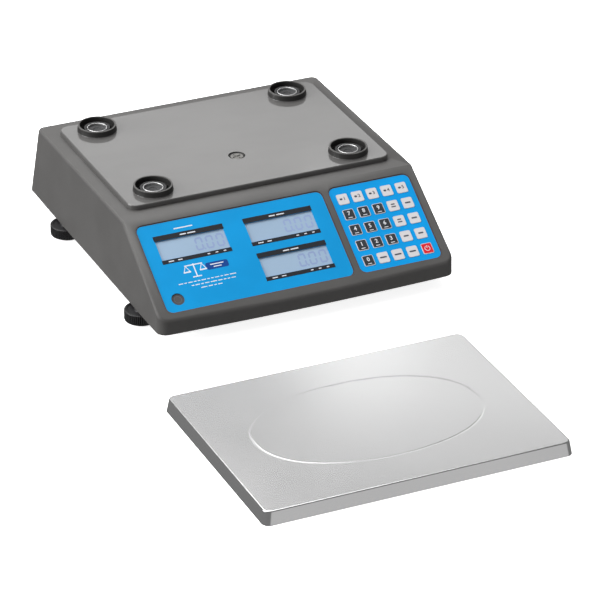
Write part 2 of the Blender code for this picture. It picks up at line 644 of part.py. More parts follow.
def cell_tower():
    """The pillar under the fixed end of the load cell."""
    foot_z = TRAY_TOP_Z + GAP
    x = -(CELL_SIZE[0] - CELL_PAD) / 2
    tall = CELL_Z - GAP - foot_z
    tower = slab("cell_tower", (CELL_PAD, CELL_SIZE[1], tall), (x, 0, foot_z + tall / 2), 2 * mm)
    size = (CELL_PAD + TOWER_FOOT[0], CELL_SIZE[1] + TOWER_FOOT[1], TOWER_FOOT[2])
    foot = slab("cell_tower_foot", size, (x, 0, foot_z + size[2] / 2), 3 * mm)
    return as_part(add(tower, foot), "cell_tower", CAST)


def weigh_frame():
    """The cast H-shaped frame that the platter stands on, with a cup on each post."""
    mid_z = FRAME_Z + FRAME_T / 2
    frame = slab("weigh_frame", (2 * POST_X, FRAME_SPINE_W, FRAME_T), (0, 0, mid_z), 2 * mm)
    for i, x in enumerate((-POST_X, POST_X)):
        add(frame, slab(f"frame_rail_{i}", (FRAME_RAIL_W, 2 * POST_Y, FRAME_T - 0.6 * mm), (x, 0, mid_z)))
    pad_x = (CELL_SIZE[0] - CELL_PAD) / 2
    pad_tall = PAD_STEP + FRAME_T / 2
    pad_at = (pad_x, 0, FRAME_Z - PAD_STEP + pad_tall / 2)
    add(frame, slab("frame_pad", (CELL_PAD, CELL_SIZE[1], pad_tall), pad_at))
    for corner, x, y in four_corners(POST_X, POST_Y):
        add(frame, rod(f"post_{corner}", POST_R, RIM_Z - POST_DROP - FRAME_Z, (x, y, FRAME_Z), steps=40))
    cup_z = RIM_Z - POST_DROP - POST_CUP_DEPTH
    for corner, x, y in four_corners(POST_X, POST_Y):
        cut(frame, rod(f"cup_{corner}", POST_CUP_R, THROUGH, (x, y, cup_z), steps=40))
    as_part(frame, "weigh_frame", CAST)
    for corner, x, y in four_corners(POST_X, POST_Y):
        at = (x, y, cup_z + GAP)
        insert = rod(f"post_insert_{corner}", POST_CUP_R - GAP, INSERT_H, at)
        as_part(insert, f"post_insert_{corner}", RUBBER)


def seal_screw():
    seat_z = DECK_Z - SEAL_WELL_DEPTH + GAP / 3
    screw = rod("seal_screw", SEAL_WELL_R - SEAL_MARGIN, SEAL_HEAD_H, (0, SEAL_Y, seat_z))
    add(screw, rod("seal_shank", SEAL_SHANK_R, SEAL_SHANK_L + EMBED, (0, SEAL_Y, seat_z - SEAL_SHANK_L),
                   steps=20))
    slot_size = (*SEAL_SLOT[:2], 2 * SEAL_SLOT[2])
    slot_at = (0, SEAL_Y, seat_z + SEAL_HEAD_H)
    for i, turn in enumerate((0, math.pi / 2)):
        cut(screw, slab(f"seal_slot_{i}", slot_size, slot_at, turn=(0, 0, turn + SEAL_SLOT_TURN)))
    return as_part(screw, "seal_screw", STEEL)


# ---------------------------------------------------------------- panel pieces
def film(name, span):
    """A printed film lying in its pocket."""
    piece = pocket(name, span, FILM, grow=-GAP)
    piece.location = piece.location - PANEL_OUT * FILM_SINK
    return piece


def key_places():
    """Name, place across and place down the panel of every key."""
    for row, names in enumerate(KEY_ROWS):
        for column, name in enumerate(names):
            x = (KEYPAD_X[0] + KEYPAD_X[1]) / 2 + (column - 2) * KEY_PITCH_X
            down = POCKET_TOP + POCKET_LENGTH / 2 + KEYS_DOWN + (row - 2) * KEY_PITCH_DOWN
            yield f"key_{name}", x, down


def key_finish(name):
    if name == "key_power":
        return RED_KEY
    return DARK_KEY if name[-1].isdigit() and "m" not in name else WHITE_KEY


def display_panel():
    as_part(film("display_film", DISPLAY_X), "display_film", BLUE_FILM)
    top = -(POCKET_DEPTH + GLASS_SINK)
    for name, (x, down) in LCD_PLACES.items():
        glass = slab(name, LCD_SIZE, on_panel(x, down, top - LCD_SIZE[2] / 2), turn=PANEL_TURN)
        as_part(glass, name, GLASS)
    across = [x for x, down in LCD_PLACES.values()]
    downs = [down for x, down in LCD_PLACES.values()]
    board_size = (max(across) - min(across) + LCD_SIZE[0] + 2 * BOARD_BORDER,
                  max(downs) - min(downs) + LCD_SIZE[1] + 2 * BOARD_BORDER, BOARD_T)
    board_at = on_panel((max(across) + min(across)) / 2, (max(downs) + min(downs)) / 2,
                        top - LCD_SIZE[2] - GAP - BOARD_T / 2)
    board = slab("display_board", board_size, board_at, turn=PANEL_TURN)
    as_part(board, "display_board", BOARD)
    vial_at = on_panel(*VIAL_AT, top - VIAL_H)
    as_part(rod("level_vial", VIAL_R, VIAL_H, vial_at, PANEL_TURN, 24), "level_vial", GLASS)


def keypad():
    sheet = film("keypad_film", KEYPAD_X)
    for name, x, down in key_places():
        hole = (KEY_W + 2 * KEY_CLEARANCE, KEY_L + 2 * KEY_CLEARANCE, 6 * FILM)
        cut(sheet, slab(f"{name}_hole", hole, on_panel(x, down), KEY_R, PANEL_TURN, 2))
        out = KEY_PROUD - FILM_SINK - KEY_H / 2
        key = slab(name, (KEY_W, KEY_L, KEY_H), on_panel(x, down, out), KEY_R, PANEL_TURN, 2)
        as_part(key, name, key_finish(name))
    as_part(sheet, "keypad_film", BLUE_FILM)
    circuit = pocket("keypad_circuit", KEYPAD_X, CIRCUIT, grow=-GAP)
    circuit.location = circuit.location - PANEL_OUT * (KEYPAD_POCKET_DEPTH - CIRCUIT - GAP / 3)
    as_part(circuit, "keypad_circuit", BOARD)


# ---------------------------------------------------------------- electronics
def main_board():
    x, y, z = MAIN_BOARD_AT
    board = slab("main_board", MAIN_BOARD, (x, y, z + MAIN_BOARD[2] / 2))
    board_top = z + MAIN_BOARD[2]
    for name, (w, d, h, across, back) in MAIN_BOARD_CHIPS.items():
        chip_at = (x + across, y + back, board_top + (h - EMBED) / 2)
        add(board, slab(f"chip_{name}", (w, d, h + EMBED), chip_at))
    return as_part(board, "main_board", BOARD)


def power_inlet():
    wall_x = side_x(INLET_Z)
    body = rod("power_inlet", INLET_R, INLET_L, (wall_x - INLET_L, INLET_Y, INLET_Z), (0, math.pi / 2, 0))
    flange = rod("inlet_flange", INLET_FLANGE_R, INLET_FLANGE_T, (wall_x + 0.4 * mm, INLET_Y, INLET_Z),
                 (0, math.pi / 2, 0))
    bridge = rod("inlet_neck", INLET_R, 2 * mm, (wall_x - 1 * mm, INLET_Y, INLET_Z), (0, math.pi / 2, 0))
    add(body, bridge, flange)
    bore_from = (wall_x - INLET_BORE_L, INLET_Y, INLET_Z)
    cut(body, rod("inlet_bore", INLET_BORE_R, INLET_BORE_L + 4 * mm, bore_from, (0, math.pi / 2, 0)))
    return as_part(body, "power_inlet", DARK_ABS)


def side_x(z):
    """Outer face of the housing's side at a height."""
    draft = (TOP_Z - z) / (TOP_Z - BOTTOM_Z)
    return (TOP_W + (BOTTOM_W - TOP_W) * draft) / 2


def rear_display():
    size = (REAR_POCKET[0] - 2 * GAP, REAR_POCKET[1] - 2 * GAP, FILM)
    at = on_back(0, REAR_DOWN, -FILM_SINK - FILM / 2)
    as_part(slab("rear_film", size, at, REAR_CORNER_R - GAP, REAR_TURN), "rear_film", BLUE_FILM)
    glass_top = -(POCKET_DEPTH + GLASS_SINK)
    board_out = glass_top - REAR_GLASS_H - BOARD_T / 2
    board_size = (2 * REAR_GLASS_PITCH + REAR_GLASS[0] + 2 * REAR_BOARD_BORDER[0],
                  REAR_GLASS[1] + 2 * REAR_BOARD_BORDER[1], BOARD_T)
    board = slab("rear_display", board_size, on_back(0, REAR_DOWN, board_out), turn=REAR_TURN)
    for i in (-1, 0, 1):
        glass = (*REAR_GLASS, REAR_GLASS_H + BOARD_T / 2)
        out = glass_top - glass[2] / 2
        add(board, slab(f"rear_glass_{i + 1}", glass, on_back(i * REAR_GLASS_PITCH, REAR_DOWN, out),
                        turn=REAR_TURN))
    as_part(board, "rear_display", GLASS)


# ---------------------------------------------------------------- platter
def platter_block(name, shrink, top):
    """The pan's form, wider at the skirt's edge than at the top."""
    size = (PLATTER_W - 2 * shrink, PLATTER_D - 2 * shrink, top)
    block = slab(name, size, (0, 0, 0), PLATTER_CORNER_R - shrink, segments=5)
    for vert in block.data.vertices:
        if vert.co.z > 0:
            vert.co.x -= math.copysign(PLATTER_FLARE, vert.co.x)
            vert.co.y -= math.copysign(PLATTER_FLARE, vert.co.y)
    block.data.transform(Matrix.Translation((0, 0, top / 2)))
    return block


def oval_ring(name, at_z):
    """A ring of round section pressed along an ellipse."""
    a = PLATTER_W / 2 - RING_INSET[0]
    b = PLATTER_D / 2 - RING_INSET[1]
    bpy.ops.mesh.primitive_torus_add(major_segments=64, minor_segments=8, major_radius=1, minor_radius=0.02,
                                     location=(0, 0, at_z))
    ring = bpy.context.object
    for vert in ring.data.vertices:
        angle = math.atan2(vert.co.y, vert.co.x)
        out = (math.hypot(vert.co.x, vert.co.y) - 1) * RING_R / 0.02
        slope = Vector((b * math.cos(angle), a * math.sin(angle))).normalized()
        vert.co.x = a * math.cos(angle) + slope.x * out
        vert.co.y = b * math.sin(angle) + slope.y * out
        vert.co.z *= RING_R / 0.02
    return take(ring, name)


def platter():
    pan = platter_block("platter", 0, PLATTER_H)
    round_edges(pan, PLATTER_EDGE_R, 3, 60, PLATTER_H / 2)
    hollow = platter_block("platter_hollow", PLATTER_T, PLATTER_H - PLATTER_T)
    round_edges(hollow, PLATTER_EDGE_R - PLATTER_T, 2, 60, PLATTER_H / 2)
    mouth_room = 2 * (PLATTER_T + MOUTH_ROOM)
    mouth_size = (PLATTER_W - mouth_room, PLATTER_D - mouth_room, 2 * PLATTER_T)
    mouth = slab("platter_mouth", mouth_size, (0, 0, 0), PLATTER_CORNER_R - PLATTER_T)
    cut(pan, hollow, mouth, oval_ring("oval_groove", PLATTER_H + RING_R - RING_DEPTH))
    return as_part(pan, "platter", STEEL)


def platter_carrier():
    """The moulded frame under the pan, with four locators that drop into the posts' cups."""
    top_z = PLATTER_H - PLATTER_T - GAP
    base_z = top_z - CARRIER_T
    size = (PLATTER_W - 2 * CARRIER_BORDER, PLATTER_D - 2 * CARRIER_BORDER, CARRIER_T)
    opening = (size[0] - 2 * CARRIER_FRAME, size[1] - 2 * CARRIER_FRAME, THROUGH)
    frame = slab("platter_carrier", size, (0, 0, base_z + CARRIER_T / 2), CARRIER_CORNER_R)
    cut(frame, slab("carrier_opening", opening, (0, 0, base_z), CARRIER_CORNER_R))
    locator_r = POST_CUP_R - LOCATOR_MARGIN
    for corner, x, y in four_corners(POST_X, POST_Y):
        tall = base_z + EMBED - LOCATOR_CLEAR_Z
        add(frame, rod(f"locator_{corner}", locator_r - LOCATOR_TAPER, tall, (x, y, LOCATOR_CLEAR_Z),
                       top_radius=locator_r))
    return as_part(frame, "platter_carrier", DARK_ABS)


# ---------------------------------------------------------------- assembly
def place_group(name, at, members):
    """Hang objects, and the forms that shape them, from one empty."""
    datum = bpy.data.objects.new(name, None)
    datum.empty_display_size = 0.02
    datum.location = at
    PARTS.objects.link(datum)
    for member in members:
        if member.parent is None:
            member.parent = datum
    return datum


def main():
    upper_housing()
    lower_housing()
    feet()
    battery_and_door()
    load_cell()
    cell_tower()
    weigh_frame()
    seal_screw()
    display_panel()
    keypad()
    main_board()
    power_inlet()
    rear_display()
    scale_pieces = [o for o in bpy.data.objects if o.type == "MESH"]
    platter()
    platter_carrier()
    platter_pieces = [o for o in bpy.data.objects if o.type == "MESH" and o not in scale_pieces]

    # the origin is the middle of the whole layout, on the bench
    platter_at = Vector((PLATTER_ACROSS, on_panel(0, PANEL_LENGTH).y - PLATTER_AHEAD - PLATTER_D / 2, 0))
    left = min(platter_at.x - PLATTER_W / 2, -FOOT_X - WHEEL_R)
    right = max(platter_at.x + PLATTER_W / 2, FOOT_X + WHEEL_R)
    front = platter_at.y - PLATTER_D / 2
    middle = Vector(((left + right) / 2, (front + BACK_BOTTOM_Y) / 2, 0))
    place_group("scale_datum", -middle, scale_pieces)
    place_group("platter_datum", platter_at - middle, platter_pieces)


main()
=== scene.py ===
"""Looks for the counting scale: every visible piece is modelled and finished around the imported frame."""
import math

import bmesh
import bpy
from mathutils import Matrix, Vector


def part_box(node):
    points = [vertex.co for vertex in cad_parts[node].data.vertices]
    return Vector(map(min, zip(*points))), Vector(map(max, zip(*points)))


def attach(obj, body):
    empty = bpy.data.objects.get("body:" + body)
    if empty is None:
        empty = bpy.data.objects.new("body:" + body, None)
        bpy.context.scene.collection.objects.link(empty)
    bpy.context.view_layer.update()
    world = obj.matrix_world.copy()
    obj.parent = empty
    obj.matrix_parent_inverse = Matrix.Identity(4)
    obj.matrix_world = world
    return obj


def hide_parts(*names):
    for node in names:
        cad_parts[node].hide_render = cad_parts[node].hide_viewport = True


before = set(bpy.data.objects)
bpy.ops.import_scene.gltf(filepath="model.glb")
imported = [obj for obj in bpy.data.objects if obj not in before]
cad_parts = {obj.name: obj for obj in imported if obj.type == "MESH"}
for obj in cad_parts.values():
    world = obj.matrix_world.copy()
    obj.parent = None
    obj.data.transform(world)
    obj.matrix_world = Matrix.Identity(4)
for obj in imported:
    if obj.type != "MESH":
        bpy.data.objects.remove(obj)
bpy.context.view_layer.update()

mm = 0.001
PANEL_TILT = math.radians(33)
REAR_TILT = -math.pi / 2 + math.atan2(25, 84)
DECK_Z = 105.5 * mm                         # the raised deck's face
DECK_HEIGHTS = (100.4 * mm, 106.2 * mm)     # from the deck's foot to just over its face
COLLAR_SHADE_HEIGHTS = (106.2 * mm, 111.2 * mm)   # the collars' walls below their rims, where the grey is darkened as painted shade

EYE = Vector((-1.4071, -3.3288, 1.8321))    # the camera, from the middle of the posts
LOOK = (math.radians(62), 0, math.radians(-24.247))
LENS = 223.17
SENSOR = 36
SOFTBOXES = {       # place, width, height, power, aimed at
    "softbox_top": ((-0.3, 1.1, 2.4), 3.0, 2.2, 102, (0, 0.1, 0)),
    "softbox_back": ((0.70, 2.0, 1.06), 0.75, 0.26, 0.84, (0, 0.1, 0.1)),
    "softbox_back_high": ((1.45, 2.0, 1.44), 1.0, 0.3, 1.5, (0, -0.2, 0)),
    "softbox_left": ((-3.0, 0.4, 1.3), 2.6, 1.8, 110, (0, 0, 0.1)),
}
BOUNCE_SIDE = (0.36, -0.90, -0.21)          # the air is brightest ahead of the scale and below it
BOUNCE_EDGE = (0.84, 0.97)                  # cosines between which the bright side fades in
AIR_STRENGTH = (0.3, 0.85)                  # away from the bright side, and in its middle


# ------------------------------------------------------------------ studio
def add_camera():
    scene = bpy.context.scene
    camera = bpy.data.objects.new("camera", bpy.data.cameras.new("camera"))
    scene.collection.objects.link(camera)
    camera.data.sensor_width = SENSOR
    camera.data.lens = LENS
    camera.data.clip_end = 50
    camera.location = datum() + EYE
    camera.rotation_euler = LOOK
    scene.camera = camera
    scene.view_settings.view_transform = "Standard"


def add_softboxes():
    for name, (spot, width, height, power, target) in SOFTBOXES.items():
        lamp = bpy.data.lights.new(name, "AREA")
        lamp.shape = "RECTANGLE"
        lamp.size = width
        lamp.size_y = height
        lamp.energy = power
        holder = bpy.data.objects.new(name, lamp)
        bpy.context.scene.collection.objects.link(holder)
        holder.location = spot
        holder.rotation_euler = (Vector(target) - Vector(spot)).to_track_quat("-Z", "Y").to_euler()


def add_air():
    """Even light all round, brighter on the side that BOUNCE_SIDE points to."""
    world = bpy.data.worlds.new("studio_air")
    world.use_nodes = True
    air = world.node_tree
    facing = air.nodes.new("ShaderNodeVectorMath")
    facing.operation = "DOT_PRODUCT"
    facing.inputs[1].default_value = Vector(BOUNCE_SIDE).normalized()
    air.links.new(air.nodes.new("ShaderNodeTexCoord").outputs["Generated"], facing.inputs[0])
    bounce = air.nodes.new("ShaderNodeMapRange")
    bounce.interpolation_type = "SMOOTHSTEP"
    for key, value in zip(("From Min", "From Max", "To Min", "To Max"), (*BOUNCE_EDGE, *AIR_STRENGTH)):
        bounce.inputs[key].default_value = value
    air.links.new(facing.outputs["Value"], bounce.inputs["Value"])
    air.nodes["Background"].inputs["Color"].default_value = (1, 1, 1, 1)
    air.links.new(bounce.outputs["Result"], air.nodes["Background"].inputs["Strength"])
    bpy.context.scene.world = world


# ------------------------------------------------------------------ shader maths
class Value:
    """A number that varies over a surface; arithmetic on it adds Math nodes."""

    def __init__(self, finish, socket):
        self.finish = finish
        self.socket = socket

    def math(self, operation, first, second):
        made = self.finish.node("Math", {"operation": operation}, {0: first, 1: second})
        return Value(self.finish, made.outputs[0])

    def __add__(self, other):
        return self.math("ADD", self, other)

    def __sub__(self, other):
        return self.math("SUBTRACT", self, other)

    def __rsub__(self, other):
        return self.math("SUBTRACT", other, self)

    def __mul__(self, other):
        return self.math("MULTIPLY", self, other)

    def __gt__(self, other):
        return self.math("GREATER_THAN", self, other)

    def __lt__(self, other):
        return self.math("LESS_THAN", self, other)

    __radd__ = __add__
    __rmul__ = __mul__

    def zigzag(self, size):
        """Rises and falls between 0 and size."""
        return self.math("PINGPONG", self, size)

    def ease(self, low, high):
        """Goes smoothly from 0 to 1 as the value goes from low to high."""
        made = self.finish.node("MapRange", {"interpolation_type": "SMOOTHSTEP", "clamp": True},
                                {"Value": self, "From Min": low, "From Max": high})
        return Value(self.finish, made.outputs["Result"])


def rgba(colour):
    """A colour as a socket takes it; a link is passed on."""
    return (*colour, 1) if isinstance(colour, tuple) else colour


def tone(colour, factor, lift=0.0):
    """A colour made darker or lighter."""
    return tuple(min(1, c * factor + lift) for c in colour)


class Finish:
    """A procedural material on Object coordinates."""

    def __init__(self, name, **constants):
        self.material = bpy.data.materials.new(name)
        self.material.use_nodes = True
        self.tree = self.material.node_tree
        self.shader = self.tree.nodes["Principled BSDF"]
        for key, value in constants.items():
            socket = key.replace("_", " ").title().replace("Ior", "IOR")
            self.shader.inputs[socket].default_value = value
        self.coords = self.tree.nodes.new("ShaderNodeTexCoord").outputs["Object"]

    def node(self, kind, settings=None, inputs=None):
        made = self.tree.nodes.new("ShaderNode" + kind)
        for key, value in (settings or {}).items():
            setattr(made, key, value)
        for key, value in (inputs or {}).items():
            self.feed(made.inputs[key], value)
        return made

    def feed(self, socket, value):
        if isinstance(value, Value):
            value = value.socket
        if isinstance(value, bpy.types.NodeSocket):
            self.tree.links.new(value, socket)
        else:
            socket.default_value = value

    def stretched(self, stretch):
        """Object coordinates, stretched along the axes."""
        made = self.node("Mapping", {"vector_type": "POINT"}, {"Vector": self.coords, "Scale": stretch})
        return made.outputs[0]

    def axis(self, index):
        return Value(self, self.node("SeparateXYZ", None, {0: self.coords}).outputs[index])

    def between(self, low, high):
        """1 where the height above the bench lies between low and high."""
        height = self.axis(2)
        return (height > low) * (height < high)

    def noise(self, scale, detail=2.0, roughness=0.5, stretch=(1, 1, 1)):
        made = self.node("TexNoise", None, {"Vector": self.stretched(stretch), "Scale": scale,
                                            "Detail": detail, "Roughness": roughness})
        return Value(self, made.outputs["Fac"])

    def cells(self, scale):
        made = self.node("TexVoronoi", None, {"Vector": self.coords, "Scale": scale})
        return Value(self, made.outputs["Distance"])

    def blend(self, mask, first, last):
        """A colour between two colours."""
        return self.node("Mix", {"data_type": "RGBA"}, {0: mask, 6: rgba(first), 7: rgba(last)}).outputs[2]

    def relief(self, height, depth, strength=1.0):
        bump = self.node("Bump", None, {"Height": height, "Distance": depth, "Strength": strength})
        self.feed(self.shader.inputs["Normal"], bump.outputs[0])

    def set(self, key, value):
        self.feed(self.shader.inputs[key], value)


# ------------------------------------------------------------------ finishes
def moulded(name, colour, gloss, grain=0.03, mottle=0.10, shine=0.5, polished=None, painted_shade=None):
    """Moulded plastic with a fine spark grain and faint flow marks.

    Between the two heights of `polished` it is glossy, and between the two heights given for shade the colour
    is darkened, as painted shade.
    """
    f = Finish(name, specular_ior_level=shine, coat_roughness=0.09)
    flow = f.noise(9, 3, 0.6, stretch=(1, 1.6, 1.6))
    grit = f.noise(1500, 2, 0.7)
    dust = f.noise(260, 4, 0.75).ease(0.62, 0.78)
    shade = f.blend(flow.ease(0.3, 0.7), tone(colour, 1 - mottle), tone(colour, 1 + mottle, 0.004))
    shade = f.blend(dust * 0.12, shade, tone(colour, 1.25, 0.02))
    texture = grit + f.noise(420, 3, 0.6) * 0.5
    f.set("Roughness", gloss + (flow - 0.5) * 0.08 + (grit - 0.5) * 0.10)
    # painted shade: between the two heights the colour is darkened to three tenths (on the housing, the
    # collars' walls)
    if painted_shade is not None:
        shade = f.blend(f.between(*painted_shade), shade, tone(colour, 0.3))
    f.set("Base Color", shade)
    if polished is not None:
        zone = f.between(*polished)
        texture = texture * (1 - zone * 0.9)
        f.set("Coat Weight", zone)
    f.relief(texture, 0.02 * mm, grain * 10)
    return f.material


def printed(name, colour, gloss=0.32, shift=0.05):
    """Ink on an anti-glare film: an even colour with a faint orange peel."""
    f = Finish(name, specular_ior_level=0.12)
    cloud = f.noise(22, 2, 0.5)
    peel = f.noise(650, 2, 0.6)
    f.set("Base Color", f.blend(cloud.ease(0.25, 0.75), tone(colour, 1 - shift), tone(colour, 1 + shift)))
    f.set("Roughness", gloss + (peel - 0.5) * 0.12)
    f.relief(peel, 0.012 * mm, 0.35)
    return f.material


def rubber(name, colour):
    """Rubber with fine pores and a pale bloom."""
    f = Finish(name)
    pores = f.cells(900)
    bloom = f.noise(70, 4, 0.7)
    f.set("Base Color", f.blend(bloom.ease(0.35, 0.8), colour, tone(colour, 1.9, 0.01)))
    f.set("Roughness", 0.68 + bloom * 0.22)
    f.relief(pores + bloom, 0.05 * mm, 0.5)
    return f.material


def brushed(name, colour, gloss, along=(8, 420, 420), depth=0.008 * mm, streak=0.16, strength=0.5):
    """Brushed sheet metal: long fine scratches, with a few that catch the light."""
    f = Finish(name, metallic=1.0)
    hair = f.noise(3, 4, 0.75, stretch=along)
    thick = f.noise(1, 2, 0.6, stretch=tuple(a * 0.35 for a in along))
    haze = f.noise(5, 2, 0.5)
    f.set("Base Color", f.blend(haze.ease(0.3, 0.7), tone(colour, 0.95), colour))
    f.set("Roughness", gloss + (hair - 0.5) * streak + (haze - 0.5) * 0.04)
    f.relief(hair + thick * 0.5, depth, strength)
    return f.material


def cast_metal(name, colour, black_above=None):
    """Sand-cast aluminium, turned black, rougher and not metallic above a height."""
    f = Finish(name, metallic=1.0)
    pits = f.cells(520)
    lumps = f.noise(180, 4, 0.65)
    cast = f.blend(lumps, tone(colour, 0.75), colour)
    rough = 0.5 + lumps * 0.15
    if black_above is not None:
        # above the height the cast metal is made black, dull and rougher
        zone = f.axis(2) > black_above
        cast = f.blend(zone, cast, (0.008, 0.008, 0.009))
        rough = rough * (1 - zone) + zone * (0.6 + lumps * 0.1)
        f.set("Metallic", 1 - zone)
    f.set("Base Color", cast)
    f.set("Roughness", rough)
    f.relief(pits + lumps, 0.1 * mm, 0.5)
    return f.material


def turned_metal(name, colour, gloss=0.3):
    """Machined metal, finely grained by the tool."""
    f = Finish(name, metallic=1.0)
    fine = f.noise(1400, 2, 0.6)
    smear = f.noise(160, 3, 0.6)
    f.set("Base Color", f.blend(smear, tone(colour, 0.86), colour))
    f.set("Roughness", gloss + smear * 0.12)
    f.relief(fine, 0.01 * mm, 0.5)
    return f.material


def circuit(name):
    """Green solder mask with copper runs, pads and plated holes."""
    f = Finish(name)
    x, y = f.axis(0) * 320, f.axis(1) * 320
    wander = f.noise(60, 1, 0.4)
    run = (x + wander * 3).zigzag(0.5) < 0.13
    cross = (y + wander * 2).zigzag(0.5) < 0.12
    patch = f.cells(70) > 0.42
    tracks = run * patch + cross * (1 - patch)
    pads = f.cells(260) < 0.16
    board = f.blend(tracks * 0.75, (0.012, 0.10, 0.045), (0.03, 0.22, 0.09))
    f.set("Base Color", f.blend(pads, board, (0.70, 0.70, 0.66)))
    f.set("Metallic", pads * 0.9)
    f.set("Roughness", 0.42 - pads * 0.15)
    f.relief(tracks + pads, 0.04 * mm, 0.8)
    return f.material


def glass_face(name, colour, gloss):
    """The face of a liquid crystal display: polished, a little uneven in colour."""
    f = Finish(name, specular_ior_level=0.12)
    tide = f.noise(14, 1, 0.4)
    grain = f.noise(1600, 1, 0.5)
    f.set("Base Color", f.blend(tide.ease(0.3, 0.7), tone(colour, 0.97), tone(colour, 1.03)))
    f.set("Roughness", gloss + grain * 0.08)
    f.relief(tide, 0.02 * mm, 0.2)
    return f.material


def floor_paper():
    """Pale paper that gives off a little light."""
    f = Finish("studio_floor", roughness=0.9, emission_color=(1, 1, 1, 1), emission_strength=0.85)
    f.set("Base Color", f.blend(f.noise(2, 2).ease(0.3, 0.7), (0.90, 0.90, 0.90), (0.92, 0.92, 0.92)))
    return f.material


def make_finishes():
    return {
        # the housing's grey is darkened on the collars' walls as painted shade
        "housing": moulded("housing_grey_abs", (0.084, 0.082, 0.080), 0.44, mottle=0.05, shine=0.2,
                           polished=DECK_HEIGHTS, painted_shade=COLLAR_SHADE_HEIGHTS),
        "black": moulded("base_black_abs", (0.022, 0.022, 0.024), 0.42, grain=0.05),
        "wheel": moulded("wheel_black_nylon", (0.012, 0.012, 0.013), 0.40, grain=0.05),
        "pad": rubber("foot_rubber", (0.02, 0.02, 0.021)),
        "insert": rubber("post_insert_rubber", (0.018, 0.018, 0.019)),
        "ring": rubber("seal_ring_rubber", (0.008, 0.008, 0.009)),
        "blue": printed("display_film_blue", (0.0052, 0.2725, 0.607)),
        "key_blue": printed("keypad_film_blue", (0.0035, 0.287, 0.683)),
        "ink_black": printed("ink_charcoal", (0.022, 0.024, 0.029)),
        "ink_white": printed("ink_white", (0.68, 0.70, 0.74)),
        "ink_navy": printed("ink_navy", (0.010, 0.055, 0.24)),
        # painted shade: a brown line round each film's edge, standing for the shade in the gap to the
        # pocket's wall
        "gap_shade_brown": printed("film_edge_painted_shade", (0.105, 0.062, 0.045), 0.5),
        "key_white": printed("key_face_white", (0.60, 0.59, 0.605), 0.38, shift=0.02),
        "key_dark": printed("key_face_charcoal", (0.034, 0.038, 0.045), 0.36),
        "key_red": printed("key_face_red", (0.62, 0.020, 0.031), 0.36),
        "legend": printed("legend_grey", (0.075, 0.08, 0.10), 0.4),
        "vial": glass_face("level_window_smoke", (0.085, 0.085, 0.09), 0.2),
        "vial_mark": printed("level_window_mark", (0.14, 0.14, 0.145), 0.3),
        "lcd": glass_face("lcd_pale_blue", (0.305, 0.4145, 0.5445), 0.2),
        "segment": printed("lcd_segment_violet", (0.262, 0.335, 0.53), 0.25),
        "rear_lcd": glass_face("rear_lcd_grey", (0.30, 0.36, 0.34), 0.15),
        "rear_segment": printed("rear_segment_dark", (0.06, 0.07, 0.07), 0.3),
        "pan": brushed("platter_brushed_steel", (0.55, 0.55, 0.55), 0.2, along=(8, 1500, 1500),
                       depth=0.001 * mm, streak=0.04, strength=0.1),
        "screw": turned_metal("seal_screw_nickel", (0.22, 0.215, 0.205)),
        "zinc": turned_metal("stud_zinc", (0.60, 0.61, 0.63)),
        "rim": turned_metal("post_rim_machined", (0.75, 0.75, 0.75)),
        "frame": cast_metal("weigh_frame_cast", (0.46, 0.46, 0.47), black_above=96 * mm),
        "cell": brushed("load_cell_aluminium", (0.74, 0.75, 0.76), 0.3, along=(60, 400, 400)),
        "tower": cast_metal("tower_cast", (0.52, 0.52, 0.53)),
        "board": circuit("circuit_board_green"),
        "battery": moulded("battery_case_grey", (0.05, 0.055, 0.06), 0.5, grain=0.06),
        "carrier": moulded("carrier_black_abs", (0.018, 0.018, 0.019), 0.45, grain=0.06),
        "lcd_frame": brushed("lcd_frame_tin", (0.55, 0.55, 0.56), 0.35, along=(90, 90, 90)),
    }


# ------------------------------------------------------------------ modelling
def only(*objects):
    if bpy.context.object and bpy.context.object.mode != "OBJECT":
        bpy.ops.object.mode_set(mode="OBJECT")
    bpy.ops.object.select_all(action="DESELECT")
    for obj in objects:
        obj.select_set(True)
    bpy.context.view_layer.objects.active = objects[0]
    return objects[0]


def edit(obj, kind="FACE", everything=False):
    only(obj)
    bpy.ops.object.mode_set(mode="EDIT")
    bpy.ops.mesh.select_mode(type=kind)
    bpy.ops.mesh.select_all(action="SELECT" if everything else "DESELECT")


def done(obj):
    bpy.ops.object.mode_set(mode="OBJECT")
    return obj


def pick(obj, kind, test):
    """In edit mode, select the faces, edges or vertices that pass a test."""
    bpy.ops.mesh.select_mode(type={"faces": "FACE", "edges": "EDGE", "verts": "VERT"}[kind])
    bpy.ops.mesh.select_all(action="DESELECT")
    bm = bmesh.from_edit_mesh(obj.data)
    for item in getattr(bm, kind):
        if test(item):
            item.select_set(True)
    bm.select_flush_mode()
    bmesh.update_edit_mesh(obj.data)


def middle(item):
    return sum((v.co for v in item.verts), Vector()) / len(item.verts)


def upright(edge):
    a, b = (v.co for v in edge.verts)
    return abs(a.x - b.x) + abs(a.y - b.y) < 1e-7


def paint(obj, *finishes):
    obj.data.materials.clear()
    for finish in finishes:
        obj.data.materials.append(FINISH[finish])
    return obj


def apply(obj, kind, **settings):
    """Add a modifier, set it up and apply it."""
    modifier = obj.modifiers.new(kind.lower(), kind)
    for key, value in settings.items():
        setattr(modifier, key, value)
    only(obj)
    bpy.ops.object.modifier_apply(modifier=modifier.name)
    return obj


def smooth(obj, angle=32, flat=None):
    """Shade smooth but for sharp edges; faces that pass the flat test get an edge of their own."""
    only(obj)
    bpy.ops.object.shade_smooth_by_angle(angle=math.radians(angle))
    if flat:
        edit(obj)
        pick(obj, "faces", flat)
        bpy.ops.mesh.region_to_loop()
        bpy.ops.mesh.mark_sharp()
        done(obj)
    return apply(obj, "WEIGHTED_NORMAL", keep_sharp=True, weight=80)


